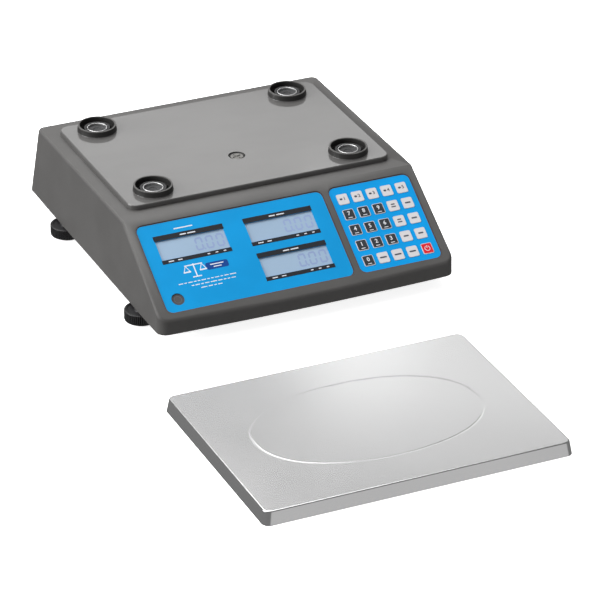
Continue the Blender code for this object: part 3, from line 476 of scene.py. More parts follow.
def place(obj, matrix):
    """Put a piece made flat at the origin into its place, and its place into its mesh."""
    only(obj)
    obj.matrix_world = matrix @ obj.matrix_world
    bpy.ops.object.transform_apply(location=True, rotation=True, scale=True)
    return obj


def join(first, *others):
    only(first, *others)
    bpy.ops.object.join()
    return first


def name_piece(obj, name):
    obj.name = name
    obj.data.name = name
    return obj


def twin(source, name, matrix):
    obj = bpy.data.objects.new(name, source.data.copy())
    bpy.context.scene.collection.objects.link(obj)
    return place(obj, matrix)


def block(width, depth, height, at=(0, 0, 0), corner=0.0, segments=4):
    """A block standing on `at`, its upright edges rounded."""
    bpy.ops.mesh.primitive_cube_add(size=1, location=(at[0], at[1], at[2] + height / 2))
    obj = bpy.context.object
    obj.scale = (width, depth, height)
    only(obj)
    bpy.ops.object.transform_apply(location=True, rotation=True, scale=True)
    if corner:
        edit(obj, "EDGE")
        pick(obj, "edges", upright)
        bpy.ops.mesh.bevel(offset=corner, segments=segments, affect="EDGES")
        done(obj)
    return obj


def drum(radius, height, at=(0, 0, 0), sides=48):
    bpy.ops.mesh.primitive_cylinder_add(vertices=sides, radius=radius, depth=height,
                                        location=(at[0], at[1], at[2] + height / 2))
    obj = bpy.context.object
    only(obj)
    bpy.ops.object.transform_apply(location=True, rotation=True, scale=True)
    return obj


def cap_face(top=True):
    sign = 1 if top else -1
    return lambda face: face.normal.z * sign > 0.95


def lathe(profile, sides=64):
    """Spin a (radius, height) outline about Z."""
    bpy.ops.mesh.primitive_plane_add(size=1)
    obj = bpy.context.object
    edit(obj, "VERT", everything=True)
    bpy.ops.mesh.delete(type="VERT")
    bm = bmesh.from_edit_mesh(obj.data)
    points = [bm.verts.new((r, 0, z)) for r, z in profile]
    for a, b in zip(points, points[1:]):
        bm.edges.new((a, b))
    bmesh.update_edit_mesh(obj.data)
    bpy.ops.mesh.select_all(action="SELECT")
    bpy.ops.mesh.spin(steps=sides, angle=2 * math.pi, center=(0, 0, 0), axis=(0, 0, 1))
    bpy.ops.mesh.select_all(action="SELECT")
    bpy.ops.mesh.remove_doubles(threshold=1e-6)
    bpy.ops.mesh.select_all(action="SELECT")
    bpy.ops.mesh.normals_make_consistent(inside=False)
    return done(obj)


def carve(obj, *cutters):
    for cutter in cutters:
        apply(obj, "BOOLEAN", object=cutter, operation="DIFFERENCE", solver="EXACT")
        bpy.data.objects.remove(cutter)
    return obj


def cad_copy(node, name):
    """A merged copy of a CAD node's mesh, with its flat faces made whole."""
    obj = bpy.data.objects.new(name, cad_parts[node].data.copy())
    bpy.context.scene.collection.objects.link(obj)
    edit(obj, "VERT", everything=True)
    bpy.ops.mesh.remove_doubles(threshold=1e-5)
    bpy.ops.mesh.select_all(action="SELECT")
    bpy.ops.mesh.dissolve_limited(angle_limit=math.radians(0.4))
    return done(obj)


def loose(obj, rider):
    """A piece that replaces no node, attached to what it moves with."""
    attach(obj, rider)
    return obj


def middle_of(node):
    low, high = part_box(node)
    return (low + high) / 2


def panel(node):
    """The place of a node that lies along the sloping panel: X across, Y up the slope, Z out."""
    return Matrix.Translation(middle_of(node)) @ Matrix.Rotation(PANEL_TILT, 4, "X")


def rear():
    """The same for the back wall; X runs to the left of someone facing it."""
    return (Matrix.Translation(middle_of("rear_film")) @ Matrix.Rotation(REAR_TILT, 4, "X")
            @ Matrix.Rotation(math.pi, 4, "Z"))


def seen_from(home, node):
    """The middle of a node in the flat frame of another."""
    return home.inverted() @ middle_of(node)


# ------------------------------------------------------------------ housing, tray and feet
def housing_shell():
    shell = cad_copy("upper_housing", "housing_shell")
    paint(shell, "housing")
    smooth(shell, 34, lambda f: f.normal.z > 0.999 and abs(middle(f).z - DECK_Z) < 0.2 * mm)
    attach(shell, "housing")
    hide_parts("upper_housing")


TRAY_SCREWS = ((-142, -146), (142, -146), (-142, -40), (142, 10), (-150, 112), (150, 128), (0, -120),
               (0, 112))            # mm from the posts' middle
WELL_R = 4.6 * mm
SCREW_HEAD = (3.9 * mm, 1.5 * mm)   # radius and height
CROSS = (4.6 * mm, 0.9 * mm)        # length and width of its cross slot
VENTS = 6
VENT = (26 * mm, 2 * mm, 8 * mm)
VENT_ROW = (95, 76, 5)              # mm to the left, back, and from vent to vent
PLATE = (74 * mm, 38 * mm, 0.3 * mm)


def datum():
    """The middle of the scale's posts, on the bench."""
    low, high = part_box("weigh_frame")
    return Vector(((low.x + high.x) / 2, (low.y + high.y) / 2, 0))


def tray_screw():
    """A cross-slotted screw head, its face down, hanging from the origin."""
    radius, height = SCREW_HEAD
    screw = drum(radius, height, (0, 0, -height), 32)
    edit(screw)
    pick(screw, "edges", lambda e: not upright(e) and middle(e).z < -1.4 * mm)
    bpy.ops.mesh.bevel(offset=0.5 * mm, segments=3, affect="EDGES")
    done(screw)
    for width, depth in (CROSS, CROSS[::-1]):
        carve(screw, block(width, depth, 1.6 * mm, (0, 0, -2.2 * mm)))
    paint(screw, "zinc")
    return smooth(screw)


def base_tray():
    tray = cad_copy("lower_housing", "base_tray")
    home = datum()
    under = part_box("lower_housing")[0].z
    left, back, pitch = VENT_ROW
    wells = [drum(WELL_R, 3 * mm, (home.x + x * mm, home.y + y * mm, under - 1.4 * mm), 32)
             for x, y in TRAY_SCREWS]
    vents = [block(*VENT, (home.x - left * mm, home.y + (back - pitch * i) * mm, under - 1 * mm), 0.9 * mm)
             for i in range(VENTS)]
    carve(tray, join(*wells), join(*vents))
    paint(tray, "black")
    smooth(tray)
    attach(tray, "housing")
    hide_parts("lower_housing")
    screw = tray_screw()
    for i, (x, y) in enumerate(TRAY_SCREWS):
        lift = Matrix.Translation((home.x + x * mm, home.y + y * mm, under + 1.8 * mm))
        loose(twin(screw, f"case_screw_{i}", lift), "housing")
    bpy.data.objects.remove(screw)
    plate = block(*PLATE, (home.x - 60 * mm, home.y - 20 * mm, under - 0.25 * mm), 2 * mm)
    name_piece(paint(plate, "lcd_frame"), "blank_rating_plate")
    smooth(plate)
    loose(plate, "housing")


CORNERS = ("front_left", "front_right", "back_left", "back_right")
WHEEL_SIDES = 104                   # every other side is sunk, for the knurl
WHEEL_R = 18.5 * mm
WHEEL_H = 11.6 * mm
WHEEL_Z = 2.2 * mm
STUD_R = 3.0 * mm
STUD_ROOT_R = 2.45 * mm
STUD_SPAN = (14.9 * mm, 43.9 * mm)  # heights of its ends
STUD_TURNS = 28                     # of 1 mm pitch
PAD_R = 14 * mm
PAD_H = 1.9 * mm


def sunk_side(face):
    """True for every other face round the wheel."""
    step = round(math.atan2(face.normal.y, face.normal.x) / (2 * math.pi / WHEEL_SIDES) - 0.5)
    return abs(face.normal.z) < 0.5 and step % 2 == 0


def knurled_wheel():
    """Wheel, hub and threaded stud about Z; heights above the bench."""
    wheel = drum(WHEEL_R, WHEEL_H, (0, 0, WHEEL_Z), WHEEL_SIDES)
    edit(wheel)
    pick(wheel, "faces", sunk_side)
    bpy.ops.mesh.inset(thickness=0.14 * mm, depth=-0.85 * mm, use_individual=True)
    pick(wheel, "edges", lambda e: not upright(e) and middle(e).z > 13.7 * mm)
    bpy.ops.mesh.bevel(offset=1.0 * mm, segments=3, affect="EDGES")
    pick(wheel, "edges", lambda e: not upright(e) and middle(e).z < 2.3 * mm)
    bpy.ops.mesh.bevel(offset=1.2 * mm, segments=2, affect="EDGES")
    pick(wheel, "faces", lambda f: f.normal.z > 0.95 and f.calc_area() > 3e-4)
    bpy.ops.mesh.inset(thickness=2.0 * mm)
    bpy.ops.mesh.inset(thickness=0.5 * mm, depth=-0.7 * mm)
    bpy.ops.mesh.inset(thickness=7.0 * mm)
    bpy.ops.mesh.inset(thickness=0.6 * mm, depth=0.7 * mm)
    bpy.ops.mesh.extrude_region_move(TRANSFORM_OT_translate={"value": (0, 0, 1.6 * mm)})
    done(wheel)
    foot, end = STUD_SPAN
    thread = [(0, foot), (STUD_R, foot)]
    for i in range(STUD_TURNS):
        thread += [(STUD_R, (15.7 + i) * mm), (STUD_ROOT_R, (16.2 + i) * mm)]
    thread += [(2.4 * mm, end), (0, end)]
    stud = lathe(thread, 24)
    paint(wheel, "wheel")
    paint(stud, "zinc")
    join(wheel, stud)
    return smooth(wheel, 30)


def rubber_foot():
    """A pad with a ring groove in its sole."""
    pad = drum(PAD_R, PAD_H, sides=64)
    edit(pad)
    pick(pad, "faces", cap_face(False))
    for _ in range(2):
        bpy.ops.mesh.inset(thickness=2.6 * mm)
        bpy.ops.mesh.inset(thickness=0.3 * mm, depth=-0.6 * mm)
        bpy.ops.mesh.inset(thickness=1.2 * mm)
        bpy.ops.mesh.inset(thickness=0.3 * mm, depth=0.6 * mm)
    done(pad)
    apply(pad, "BEVEL", width=0.25 * mm, segments=2, angle_limit=math.radians(50))
    paint(pad, "pad")
    return smooth(pad)


def feet():
    wheel, pad = knurled_wheel(), rubber_foot()
    for corner in CORNERS:
        at = middle_of(f"foot_pad_{corner}")
        home = Matrix.Translation((at.x, at.y, 0))
        knob = twin(wheel, f"knurled_wheel_{corner}", home)
        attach(knob, f"foot_wheel_{corner}")
        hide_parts(f"foot_wheel_{corner}")
        sole = twin(pad, f"rubber_foot_{corner}", home)
        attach(sole, f"foot_pad_{corner}")
        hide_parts(f"foot_pad_{corner}")
    bpy.data.objects.remove(wheel)
    bpy.data.objects.remove(pad)


DOOR_GRIP = (18 * mm, 0.9 * mm, 0.7 * mm)
DOOR_GRIPS = 5
DOOR_RIB = (84 * mm, 0.8 * mm, 0.5 * mm)
DOOR_RIBS = 2


def battery_door():
    door = cad_copy("battery_door", "door_panel")
    low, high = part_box("battery_door")
    x, z = (low.x + high.x) / 2, low.z
    grips = [block(*DOOR_GRIP, (x, low.y + (14 + 2.2 * i) * mm, z - 0.5 * mm), 0.3 * mm, 2)
             for i in range(DOOR_GRIPS)]
    ribs = [block(*DOOR_RIB, (x, low.y + (40 + 16 * i) * mm, z - 0.3 * mm), 0.3 * mm, 2)
            for i in range(DOOR_RIBS)]
    join(door, *grips, *ribs)
    paint(door, "black")
    smooth(door)
    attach(door, "battery_door")
    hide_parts("battery_door")


# ------------------------------------------------------------------ weighing train
RIM_OUTER_R = 10.9 * mm
RIM_INNER_R = 9.95 * mm
RIM_LIP = 0.25 * mm
RIM_HIDDEN = 4 * mm                 # how far the rim reaches down
CUSHION_R = 11.1 * mm
CUSHION_H = 1.9 * mm
SEAL_RING_R = 8.05 * mm
SEAL_RING_WIRE_R = 0.95 * mm


def posts():
    frame_piece = cad_copy("weigh_frame", "post_frame")
    paint(frame_piece, "frame")
    smooth(frame_piece)
    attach(frame_piece, "weigh_frame")
    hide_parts("weigh_frame")
    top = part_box("weigh_frame")[1].z
    outer, inner, lip = RIM_OUTER_R, RIM_INNER_R, RIM_LIP
    rim = lathe([(outer, -RIM_HIDDEN), (outer, -lip), (outer - 0.15 * mm, -0.15 * mm), (outer - lip, 0),
                 (inner + lip, 0), (inner + 0.15 * mm, -0.15 * mm), (inner, -lip), (inner, -RIM_HIDDEN),
                 (outer, -RIM_HIDDEN)], 72)
    paint(rim, "rim")
    smooth(rim, 50)
    cushion = drum(CUSHION_R, CUSHION_H, sides=56)
    edit(cushion)
    pick(cushion, "faces", cap_face())
    bpy.ops.mesh.inset(thickness=2.0 * mm)
    bpy.ops.mesh.inset(thickness=0.5 * mm, depth=-0.5 * mm)
    bpy.ops.mesh.inset(thickness=4.2 * mm)
    bpy.ops.mesh.inset(thickness=0.5 * mm, depth=-0.7 * mm)
    done(cushion)
    apply(cushion, "BEVEL", width=0.2 * mm, segments=2, angle_limit=math.radians(40))
    paint(cushion, "insert")
    smooth(cushion)
    for corner in CORNERS:
        low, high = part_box(f"post_insert_{corner}")
        x, y = (low.x + high.x) / 2, (low.y + high.y) / 2
        ring = twin(rim, f"post_rim_{corner}", Matrix.Translation((x, y, top + 0.1 * mm)))
        loose(ring, "weigh_frame")
        seat = twin(cushion, f"post_cushion_{corner}", Matrix.Translation((x, y, low.z)))
        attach(seat, "weigh_frame")
        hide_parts(f"post_insert_{corner}")
    bpy.data.objects.remove(rim)
    bpy.data.objects.remove(cushion)


def seal():
    screw = cad_copy("seal_screw", "sealing_screw")
    apply(screw, "BEVEL", width=0.25 * mm, segments=2, angle_limit=math.radians(50))
    paint(screw, "screw")
    smooth(screw)
    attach(screw, "housing")
    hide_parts("seal_screw")
    low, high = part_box("seal_screw")
    bpy.ops.mesh.primitive_torus_add(major_radius=SEAL_RING_R, minor_radius=SEAL_RING_WIRE_R,
                                     major_segments=48, minor_segments=12,
                                     location=((low.x + high.x) / 2, (low.y + high.y) / 2, high.z - 1.2 * mm))
    ring = name_piece(bpy.context.object, "sealing_ring")
    only(ring)
    bpy.ops.object.transform_apply(location=True, rotation=True, scale=True)
    paint(ring, "ring")
    smooth(ring, 60)
    loose(ring, "housing")


# ------------------------------------------------------------------ displays
WINDOW = (76.6 * mm, 23.4 * mm)
WINDOW_RISE = -0.6 * mm
INK = 0.05 * mm
FILM_FACE = 0.4 * mm                # film's face above its middle
DISPLAYS = ("lcd_weight", "lcd_unit_price", "lcd_total_price")
MODULE = (78 * mm, 34 * mm, 5.5 * mm)
TOP_BAR_H = 6.0 * mm
LOW_BAR_H = 4.7 * mm
TOP_WORDS = ((-6, 7), (3.5, 9))     # mm across from the middle, and mm long
LOW_WORDS = ((-29, 6), (-19, 5), (13, 3), (22, 3), (31, 3))
NOTE_ROWS = ((0, 62), (6, 48), (2, 22))
NOTE_WORDS = (5, 3, 7, 4, 6)        # mm long, taken in turn
NOTE_GAP = 1.3
EYE_R = 7.0 * mm
VIAL = (7.5 * mm, 5 * mm)           # radius and height


def digit(x, base, tall, stroke, slant=0.1):
    """A seven-segment nought made of six bars, leaning to the right."""
    wide = tall * 0.56
    bars = [(0, tall - stroke / 2, wide - stroke, 0), (0, stroke / 2, wide - stroke, 0)]
    for side in (-1, 1):
        for level in (0.27, 0.73):
            bars.append((side * (wide - stroke) / 2, tall * level, tall / 2 - stroke * 0.9, math.pi / 2))
    made = []
    for dx, dy, length, turn in bars:
        bar = block(length, stroke, INK, corner=stroke * 0.45, segments=1)
        lean = (dy - tall / 2) * slant
        spot = Matrix.Translation((x + dx + lean, base + dy, 0)) @ Matrix.Rotation(turn, 4, "Z")
        made.append(place(bar, spot))
    return made


def readout(width, tall, pitch, count, name, finish, home, out):
    """Noughts with a point, on the face of a display."""
    right = width / 2 - pitch * 0.42
    pieces = []
    for i in range(count):
        pieces += digit(right - i * pitch, -tall / 2, tall, tall * 0.13)
    point = tall * 0.13
    pieces.append(block(point, point, INK, (right - 1.5 * pitch - point * 0.6, -tall / 2 + point / 2, 0)))
    readout_piece = name_piece(join(*pieces), name)
    paint(readout_piece, finish)
    place(readout_piece, home @ Matrix.Translation((0, 0, out)))
    return loose(readout_piece, "housing")


def ink(width, height, x, y, finish, level=0, corner=0.0):
    """A patch of print on a film, as flat work at the origin."""
    patch = block(width, height, INK, (x, y, FILM_FACE + level * INK), corner, 2)
    return paint(patch, finish)


def balance_emblem(x, y, size):
    """A plain pictogram of a balance: post, foot, beam and two pans."""
    w = size * 0.07
    marks = [ink(w, size * 0.86, x, y, "ink_white"), ink(size * 0.55, w, x, y - size * 0.43, "ink_white", 1),
             ink(size * 1.1, w, x, y + size * 0.36, "ink_white", 1)]
    for side in (-1, 1):
        at = x + side * size * 0.5
        marks.append(ink(size * 0.46, w * 1.3, at, y - size * 0.06, "ink_white", 1, w * 0.5))
        for lean in (-1, 1):
            cord = ink(w * 0.55, size * 0.42, 0, 0, "ink_white")
            turn = Matrix.Rotation(lean * 0.46, 4, "Z")
            spot = Matrix.Translation((at + lean * size * 0.095, y + size * 0.15, 0))
            marks.append(place(cord, spot @ turn))
    return marks


def film_gap_shade(node, name, home, width=0.8 * mm, corner=7.7 * mm):
    """A thin brown line painted round the edge of a film: painted shade standing for the gap between the film
    and its pocket's wall.
    """
    flat = [home.inverted() @ v.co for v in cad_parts[node].data.vertices]
    low = Vector(min(v[i] for v in flat) for i in range(3))
    high = Vector(max(v[i] for v in flat) for i in range(3))
    x, y = (low.x + high.x) / 2, (low.y + high.y) / 2
    wide, tall = high.x - low.x, high.y - low.y
    line = block(wide, tall, INK, (x, y, FILM_FACE), corner, 6)
    carve(line, block(wide - 2 * width, tall - 2 * width, 4 * mm, (x, y, -2 * mm), corner - width, 6))
    paint(name_piece(line, name), "gap_shade_brown")
    loose(place(line, home), "housing")


def display_overlay():
    home = panel("display_film")
    film = cad_copy("display_film", "display_overlay")
    cutters = []
    for node in DISPLAYS:
        at = seen_from(home, node)
        hole = block(WINDOW[0], WINDOW[1], 4 * mm, (at.x, at.y + WINDOW_RISE, -2 * mm), 0.4 * mm, 2)
        cutters.append(place(hole, home))
    eye = seen_from(home, "level_vial")
    cutters.append(place(drum(EYE_R, 4 * mm, (eye.x, eye.y, -2 * mm), 48), home))
    carve(film, join(*cutters))
    paint(film, "blue")
    smooth(film)
    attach(film, "housing")
    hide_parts("display_film")
    film_gap_shade("display_film", "display_gap_shade", home)


def display_surrounds():
    """Dark bars above and below each window, with dashes for their words."""
    home = panel("display_film")
    for node in DISPLAYS:
        at = seen_from(home, node)
        marks = []
        top = at.y + WINDOW_RISE + WINDOW[1] / 2
        low = top - WINDOW[1]
        marks.append(ink(MODULE[0], TOP_BAR_H, at.x, top + TOP_BAR_H / 2, "ink_black", 1))
        marks.append(ink(MODULE[0], LOW_BAR_H, at.x, low - LOW_BAR_H / 2, "ink_black", 1))
        for dx, wide in TOP_WORDS:
            marks.append(ink(wide * mm, 1.3 * mm, at.x + dx * mm, top + 2.9 * mm, "ink_white", 2, 0.5 * mm))
        for dx, wide in LOW_WORDS:
            marks.append(ink(wide * mm, 1.1 * mm, at.x + dx * mm, low - 2.4 * mm, "ink_white", 2, 0.4 * mm))
        sheet = name_piece(join(*marks), f"{node}_surround")
        place(sheet, home)
        loose(sheet, "housing")


def display_emblem():
    """A balance, a navy patch and rows of dashes, placed from the weight window."""
    home = panel("display_film")
    weight = seen_from(home, "lcd_weight")
    emblem = balance_emblem(weight.x - 8 * mm, weight.y - 30 * mm, 18 * mm)
    patch = weight.x + 17 * mm
    emblem.append(ink(25 * mm, 8.5 * mm, patch, weight.y - 29 * mm, "ink_navy", 0, 2 * mm))
    for row, wide in enumerate((15, 9)):
        emblem.append(ink(wide * mm, 1.1 * mm, patch, weight.y - (27.5 + 3 * row) * mm, "ink_white", 1,
                          0.4 * mm))
    emblem.append(ink(21 * mm, 1.3 * mm, weight.x - 3 * mm, weight.y + 22 * mm, "ink_white", 0, 0.5 * mm))
    for row, (dx, wide) in enumerate(NOTE_ROWS):
        x = weight.x + dx * mm - wide * mm / 2
        step = 0
        while step < wide:
            word = NOTE_WORDS[(row + int(step)) % len(NOTE_WORDS)]
            emblem.append(ink(word * mm, 1.0 * mm, x + (step + word / 2) * mm,
                              weight.y - (43 + 4.2 * row) * mm, "ink_white", 0, 0.4 * mm))
            step += word + NOTE_GAP
    sheet = name_piece(join(*emblem), "display_emblem")
    place(sheet, home)
    loose(sheet, "housing")


def display_glasses():
    for node in DISPLAYS:
        module = block(*MODULE, (0, 0, -MODULE[2] / 2), 0.5 * mm, 2)
        paint(module, "lcd_frame", "lcd")
        edit(module)
        pick(module, "faces", cap_face())
        bpy.ops.mesh.inset(thickness=0.5 * mm)
        module.active_material_index = 1
        bpy.ops.object.material_slot_assign()
        done(module)
        place(module, panel(node))
        name_piece(module, f"{node}_glass")
        smooth(module)
        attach(module, "housing")
        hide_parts(node)
        readout(72 * mm, 15.6 * mm, 11.8 * mm, 3, f"{node}_digits", "segment",
                panel(node) @ Matrix.Translation((0, WINDOW_RISE, 0)), MODULE[2] / 2)


def level_window():
    """A smoked round window with a faint ring."""
    radius, height = VIAL
    vial = drum(radius, height, (0, 0, -height / 2), 48)
    paint(vial, "vial", "vial_mark")
    edit(vial)
    pick(vial, "faces", cap_face())
    bpy.ops.mesh.inset(thickness=3.0 * mm)
    bpy.ops.mesh.inset(thickness=0.5 * mm, depth=0.1 * mm)
    vial.active_material_index = 1
    bpy.ops.object.material_slot_assign()
    bpy.ops.mesh.inset(thickness=0.3 * mm, depth=-0.1 * mm)
    vial.active_material_index = 0
    bpy.ops.object.material_slot_assign()
    done(vial)
    place(vial, panel("level_vial"))
    name_piece(vial, "level_window")
    smooth(vial)
    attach(vial, "housing")
    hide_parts("level_vial")


# ------------------------------------------------------------------ keypad
KEY_NAMES = ("m1", "m2", "m3", "m4", "m5", "7", "8", "9", "lookup_up", "save", "4", "5", "6", "lookup_down",
             "zero", "1", "2", "3", "unit", "tare", "0", "clear", "enter", "print", "power")
KEY_TOP = 0.5 * mm
KEY_CAP = (12.2 * mm, 12.8 * mm, 1.0 * mm)
WORD_WIDTHS = {"zero": 6.4, "save": 6.4, "unit": 6.0, "tare": 6.0, "clear": 8.0, "enter": 8.0,
               "print": 7.6}        # mm


def key_cap(face):
    """A key with a pale rounded border; face is the finish inside the border."""
    cap = block(*KEY_CAP, (0, 0, -KEY_TOP), 1.6 * mm, 4)
    paint(cap, "key_white", face)
    edit(cap)
    pick(cap, "faces", cap_face())
    bpy.ops.mesh.inset(thickness=0.22 * mm, depth=0)
    bpy.ops.mesh.inset(thickness=0.35 * mm, depth=0)
    cap.active_material_index = 1
    bpy.ops.object.material_slot_assign()
    pick(cap, "edges", lambda e: not upright(e) and middle(e).z > KEY_TOP * 0.99
         and any(abs(f.normal.z) < 0.5 for f in e.link_faces))
    bpy.ops.mesh.bevel(offset=0.15 * mm, segments=2, affect="EDGES")
    return done(cap)


def legend(text, size, x, y, finish):
    bpy.ops.object.text_add(location=(0, 0, 0))
    label = bpy.context.object
    label.data.body = text
    label.data.size = size
    label.data.align_x = "CENTER"
    label.data.align_y = "CENTER"
    label.data.extrude = INK / 2
    label.data.offset = size * 0.018
    label.data.resolution_u = 3
    only(label)
    bpy.ops.object.convert(target="MESH")
    label = bpy.context.object
    place(label, Matrix.Translation((x, y, KEY_TOP + INK / 2)))
    return paint(label, finish)


def dash(width, x, y, finish, height):
    return paint(block(width, height, INK, (x, y, KEY_TOP), height * 0.4, 2), finish)


def power_sign():
    ring = lathe([(2.5 * mm, KEY_TOP), (2.5 * mm, KEY_TOP + INK), (3.1 * mm, KEY_TOP + INK),
                  (3.1 * mm, KEY_TOP), (2.5 * mm, KEY_TOP)], 40)
    carve(ring, block(2.4 * mm, 4 * mm, 2 * mm, (0, 3 * mm, KEY_TOP - 1 * mm)))
    stroke = block(0.65 * mm, 3.0 * mm, INK, (0, 2.0 * mm, KEY_TOP))
    return [paint(ring, "ink_white"), paint(stroke, "ink_white")]


def key_marks(name):
    if name == "power":
        return power_sign()
    if name.isdigit():
        return [legend(name, 6.6 * mm, 0, 1.2 * mm, "ink_white"),
                dash(4.6 * mm, 0, -3.9 * mm, "ink_white", 0.8 * mm)]
    if name[0] == "m":
        return [dash(3.2 * mm, -2.1 * mm, 0.3 * mm, "legend", 2.3 * mm),
                legend(name[1], 5.6 * mm, 1.9 * mm, 0.4 * mm, "legend")]
    if name.startswith("lookup"):
        return [dash(4.6 * mm, 0, 1.7 * mm, "legend", 1.5 * mm),
                dash(5.4 * mm, 0, -1.3 * mm, "legend", 1.5 * mm)]
    return [dash(WORD_WIDTHS[name] * mm, 0, 0.2 * mm, "legend", 1.8 * mm)]


def keys():
    caps = {face: key_cap(face) for face in ("key_white", "key_dark", "key_red")}
    for name in KEY_NAMES:
        face = "key_red" if name == "power" else "key_dark" if name.isdigit() else "key_white"
        cap = twin(caps[face], f"keycap_{name}", Matrix.Identity(4))
        join(cap, *key_marks(name))
        place(cap, panel(f"key_{name}"))
        smooth(cap)
        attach(cap, f"key_{name}")
        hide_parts(f"key_{name}")
    for cap in caps.values():
        bpy.data.objects.remove(cap)


def keypad_overlay():
    film = cad_copy("keypad_film", "keypad_overlay")
    paint(film, "key_blue")
    smooth(film)
    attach(film, "housing")
    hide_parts("keypad_film")
    film_gap_shade("keypad_film", "keypad_gap_shade", panel("keypad_film"))


# ------------------------------------------------------------------ back
REAR_PITCH = 72                     # mm from window to window
REAR_WINDOW = (58 * mm, 20 * mm)


def rear_panel():
    home = rear()
    film = cad_copy("rear_film", "rear_overlay")
    cutters, marks = [], []
    for i in (-1, 0, 1):
        x = i * REAR_PITCH
        cutters.append(place(block(*REAR_WINDOW, 4 * mm, (x * mm, 0, -2 * mm), 1 * mm, 3), home))
        for side in (-1, 1):
            marks.append(ink(0.8 * mm, 22.4 * mm, (x + side * 30.4) * mm, 0, "ink_black"))
            marks.append(ink(61.6 * mm, 1.4 * mm, x * mm, side * 11.2 * mm, "ink_black", 1))
        for dx, wide in ((-5, 8), (6, 10)):
            marks.append(ink(wide * mm, 1.4 * mm, (x + dx) * mm, 16 * mm, "ink_white", 0, 0.5 * mm))
    carve(film, join(*cutters))
    paint(film, "blue")
    smooth(film)
    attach(film, "housing")
    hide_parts("rear_film")
    surround = name_piece(join(*marks), "rear_surround")
    place(surround, home)
    loose(surround, "housing")
    module = cad_copy("rear_display", "rear_glasses")
    paint(module, "rear_lcd")
    smooth(module)
    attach(module, "housing")
    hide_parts("rear_display")
    for i in (-1, 0, 1):
        readout(54 * mm, 13 * mm, 10.4 * mm, 4, f"rear_digits_{i + 1}", "rear_segment",
                home @ Matrix.Translation((i * REAR_PITCH * mm, 0, 0)), -0.65 * mm)


def power_socket():
    """A barrel socket in a turned flange, along X."""
    low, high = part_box("power_inlet")
    home = Matrix.Translation((0, (low.y + high.y) / 2, (low.z + high.z) / 2))
    turn = home @ Matrix.Rotation(math.pi / 2, 4, "Y")
    x0, x1 = low.x, high.x
    body = lathe([(0, x0), (5.7 * mm, x0), (6.0 * mm, x0 + 0.3 * mm), (6.0 * mm, x1 - 1.5 * mm),
                  (8.5 * mm, x1 - 1.5 * mm), (8.5 * mm, x1 - 0.4 * mm), (8.1 * mm, x1), (4.0 * mm, x1),
                  (3.2 * mm, x1 - 0.8 * mm), (3.2 * mm, x1 - 9 * mm), (0, x1 - 9 * mm)], 48)
    paint(body, "black")
    pin = lathe([(0, x1 - 9.5 * mm), (0.95 * mm, x1 - 9.5 * mm), (0.95 * mm, x1 - 2.2 * mm),
                 (0.5 * mm, x1 - 1.7 * mm), (0, x1 - 1.6 * mm)], 20)
    paint(pin, "zinc")
    name_piece(body, "power_socket")
    join(body, pin)
    place(body, turn)
    smooth(body, 40)
    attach(body, "housing")
    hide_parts("power_inlet")


# ------------------------------------------------------------------ platter
PAN_CORNER_R = 8 * mm
PAN_EDGE_R = 1.3 * mm
PAN_SHEET = 1 * mm
PAN_FLARE = 4.4 * mm                # how much wider the pan is at its foot
OVAL_INSET = (45 * mm, 49 * mm)     # from the pan's sides to the middle of the groove
GROOVE_R = 8 * mm
GROOVE_LIFT = 7.84 * mm             # the groove's centre above the pan's face


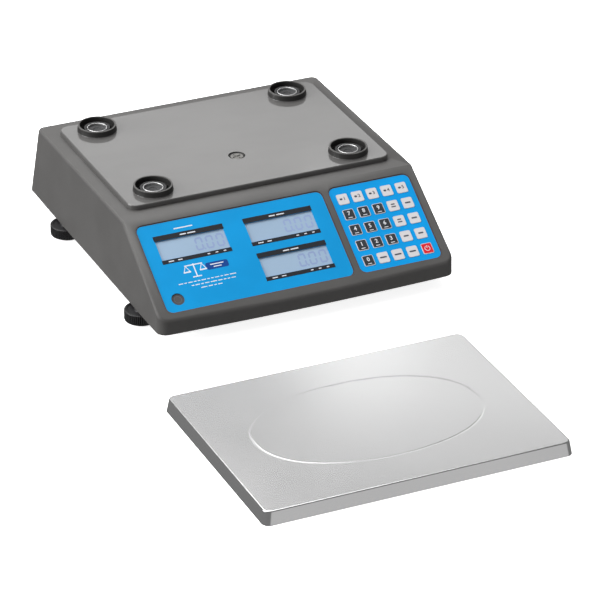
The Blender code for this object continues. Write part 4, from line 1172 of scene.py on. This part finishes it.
def platter_pan():
    low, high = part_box("platter")
    centre = (low + high) / 2
    width, depth, height = high - low
    pan = name_piece(block(width, depth, height, (centre.x, centre.y, 0), PAN_CORNER_R, 8),
                     "platter_pan")
    edit(pan)
    pick(pan, "verts", lambda v: v.co.z > height / 2)
    bpy.ops.transform.resize(value=(1 - PAN_FLARE / width, 1 - PAN_FLARE / depth, 1),
                             center_override=(centre.x, centre.y, height))
    pick(pan, "edges", lambda e: all(v.co.z > height * 0.99 for v in e.verts)
         and any(abs(f.normal.z) < 0.5 for f in e.link_faces))
    bpy.ops.mesh.bevel(offset=PAN_EDGE_R, segments=5, affect="EDGES")
    pick(pan, "faces", cap_face(False))
    bpy.ops.mesh.delete(type="FACE")
    done(pan)
    apply(pan, "SOLIDIFY", thickness=PAN_SHEET, offset=-1, use_even_offset=True)
    edit(pan)
    pick(pan, "verts", lambda v: v.co.z < 0.5 * mm)
    bpy.ops.transform.resize(value=(1, 1, 0), center_override=(centre.x, centre.y, 0))
    done(pan)
    bpy.ops.curve.primitive_bezier_circle_add(radius=1, location=(0, 0, 0))
    groove = bpy.context.object
    groove.data.resolution_u = 48
    groove.data.bevel_depth = GROOVE_R
    groove.data.bevel_resolution = 24
    only(groove)
    bpy.ops.object.mode_set(mode="EDIT")
    bpy.ops.curve.select_all(action="SELECT")
    bpy.ops.transform.resize(value=(width / 2 - OVAL_INSET[0], depth / 2 - OVAL_INSET[1], 1))
    bpy.ops.object.mode_set(mode="OBJECT")
    only(groove)
    bpy.ops.object.convert(target="MESH")
    groove = bpy.context.object
    place(groove, Matrix.Translation((centre.x, centre.y, height + GROOVE_LIFT)))
    carve(pan, groove)
    paint(pan, "pan")
    smooth(pan, 30)
    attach(pan, "platter")
    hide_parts("platter")


def pan_carrier():
    carrier = cad_copy("platter_carrier", "pan_carrier")
    paint(carrier, "carrier")
    smooth(carrier)
    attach(carrier, "platter")
    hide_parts("platter_carrier")


# ------------------------------------------------------------------ pieces kept from the frame
INSIDE = {"battery": "battery", "cell_tower": "tower", "load_cell": "cell", "main_board": "board",
          "display_board": "board", "keypad_circuit": "board"}


def finish_inside():
    for node, finish in INSIDE.items():
        paint(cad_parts[node], finish)


def floor():
    bpy.ops.mesh.primitive_plane_add(size=14, location=(0, 0, 0))
    sheet = name_piece(bpy.context.object, "studio_floor")
    sheet.data.materials.append(floor_paper())
    sheet.visible_diffuse = False
    sheet.visible_glossy = False


add_camera()
add_softboxes()
add_air()
FINISH = make_finishes()
housing_shell()
base_tray()
feet()
battery_door()
posts()
seal()
display_overlay()
display_surrounds()
display_emblem()
display_glasses()
level_window()
keypad_overlay()
keys()
rear_panel()
power_socket()
platter_pan()
pan_carrier()
finish_inside()
floor()
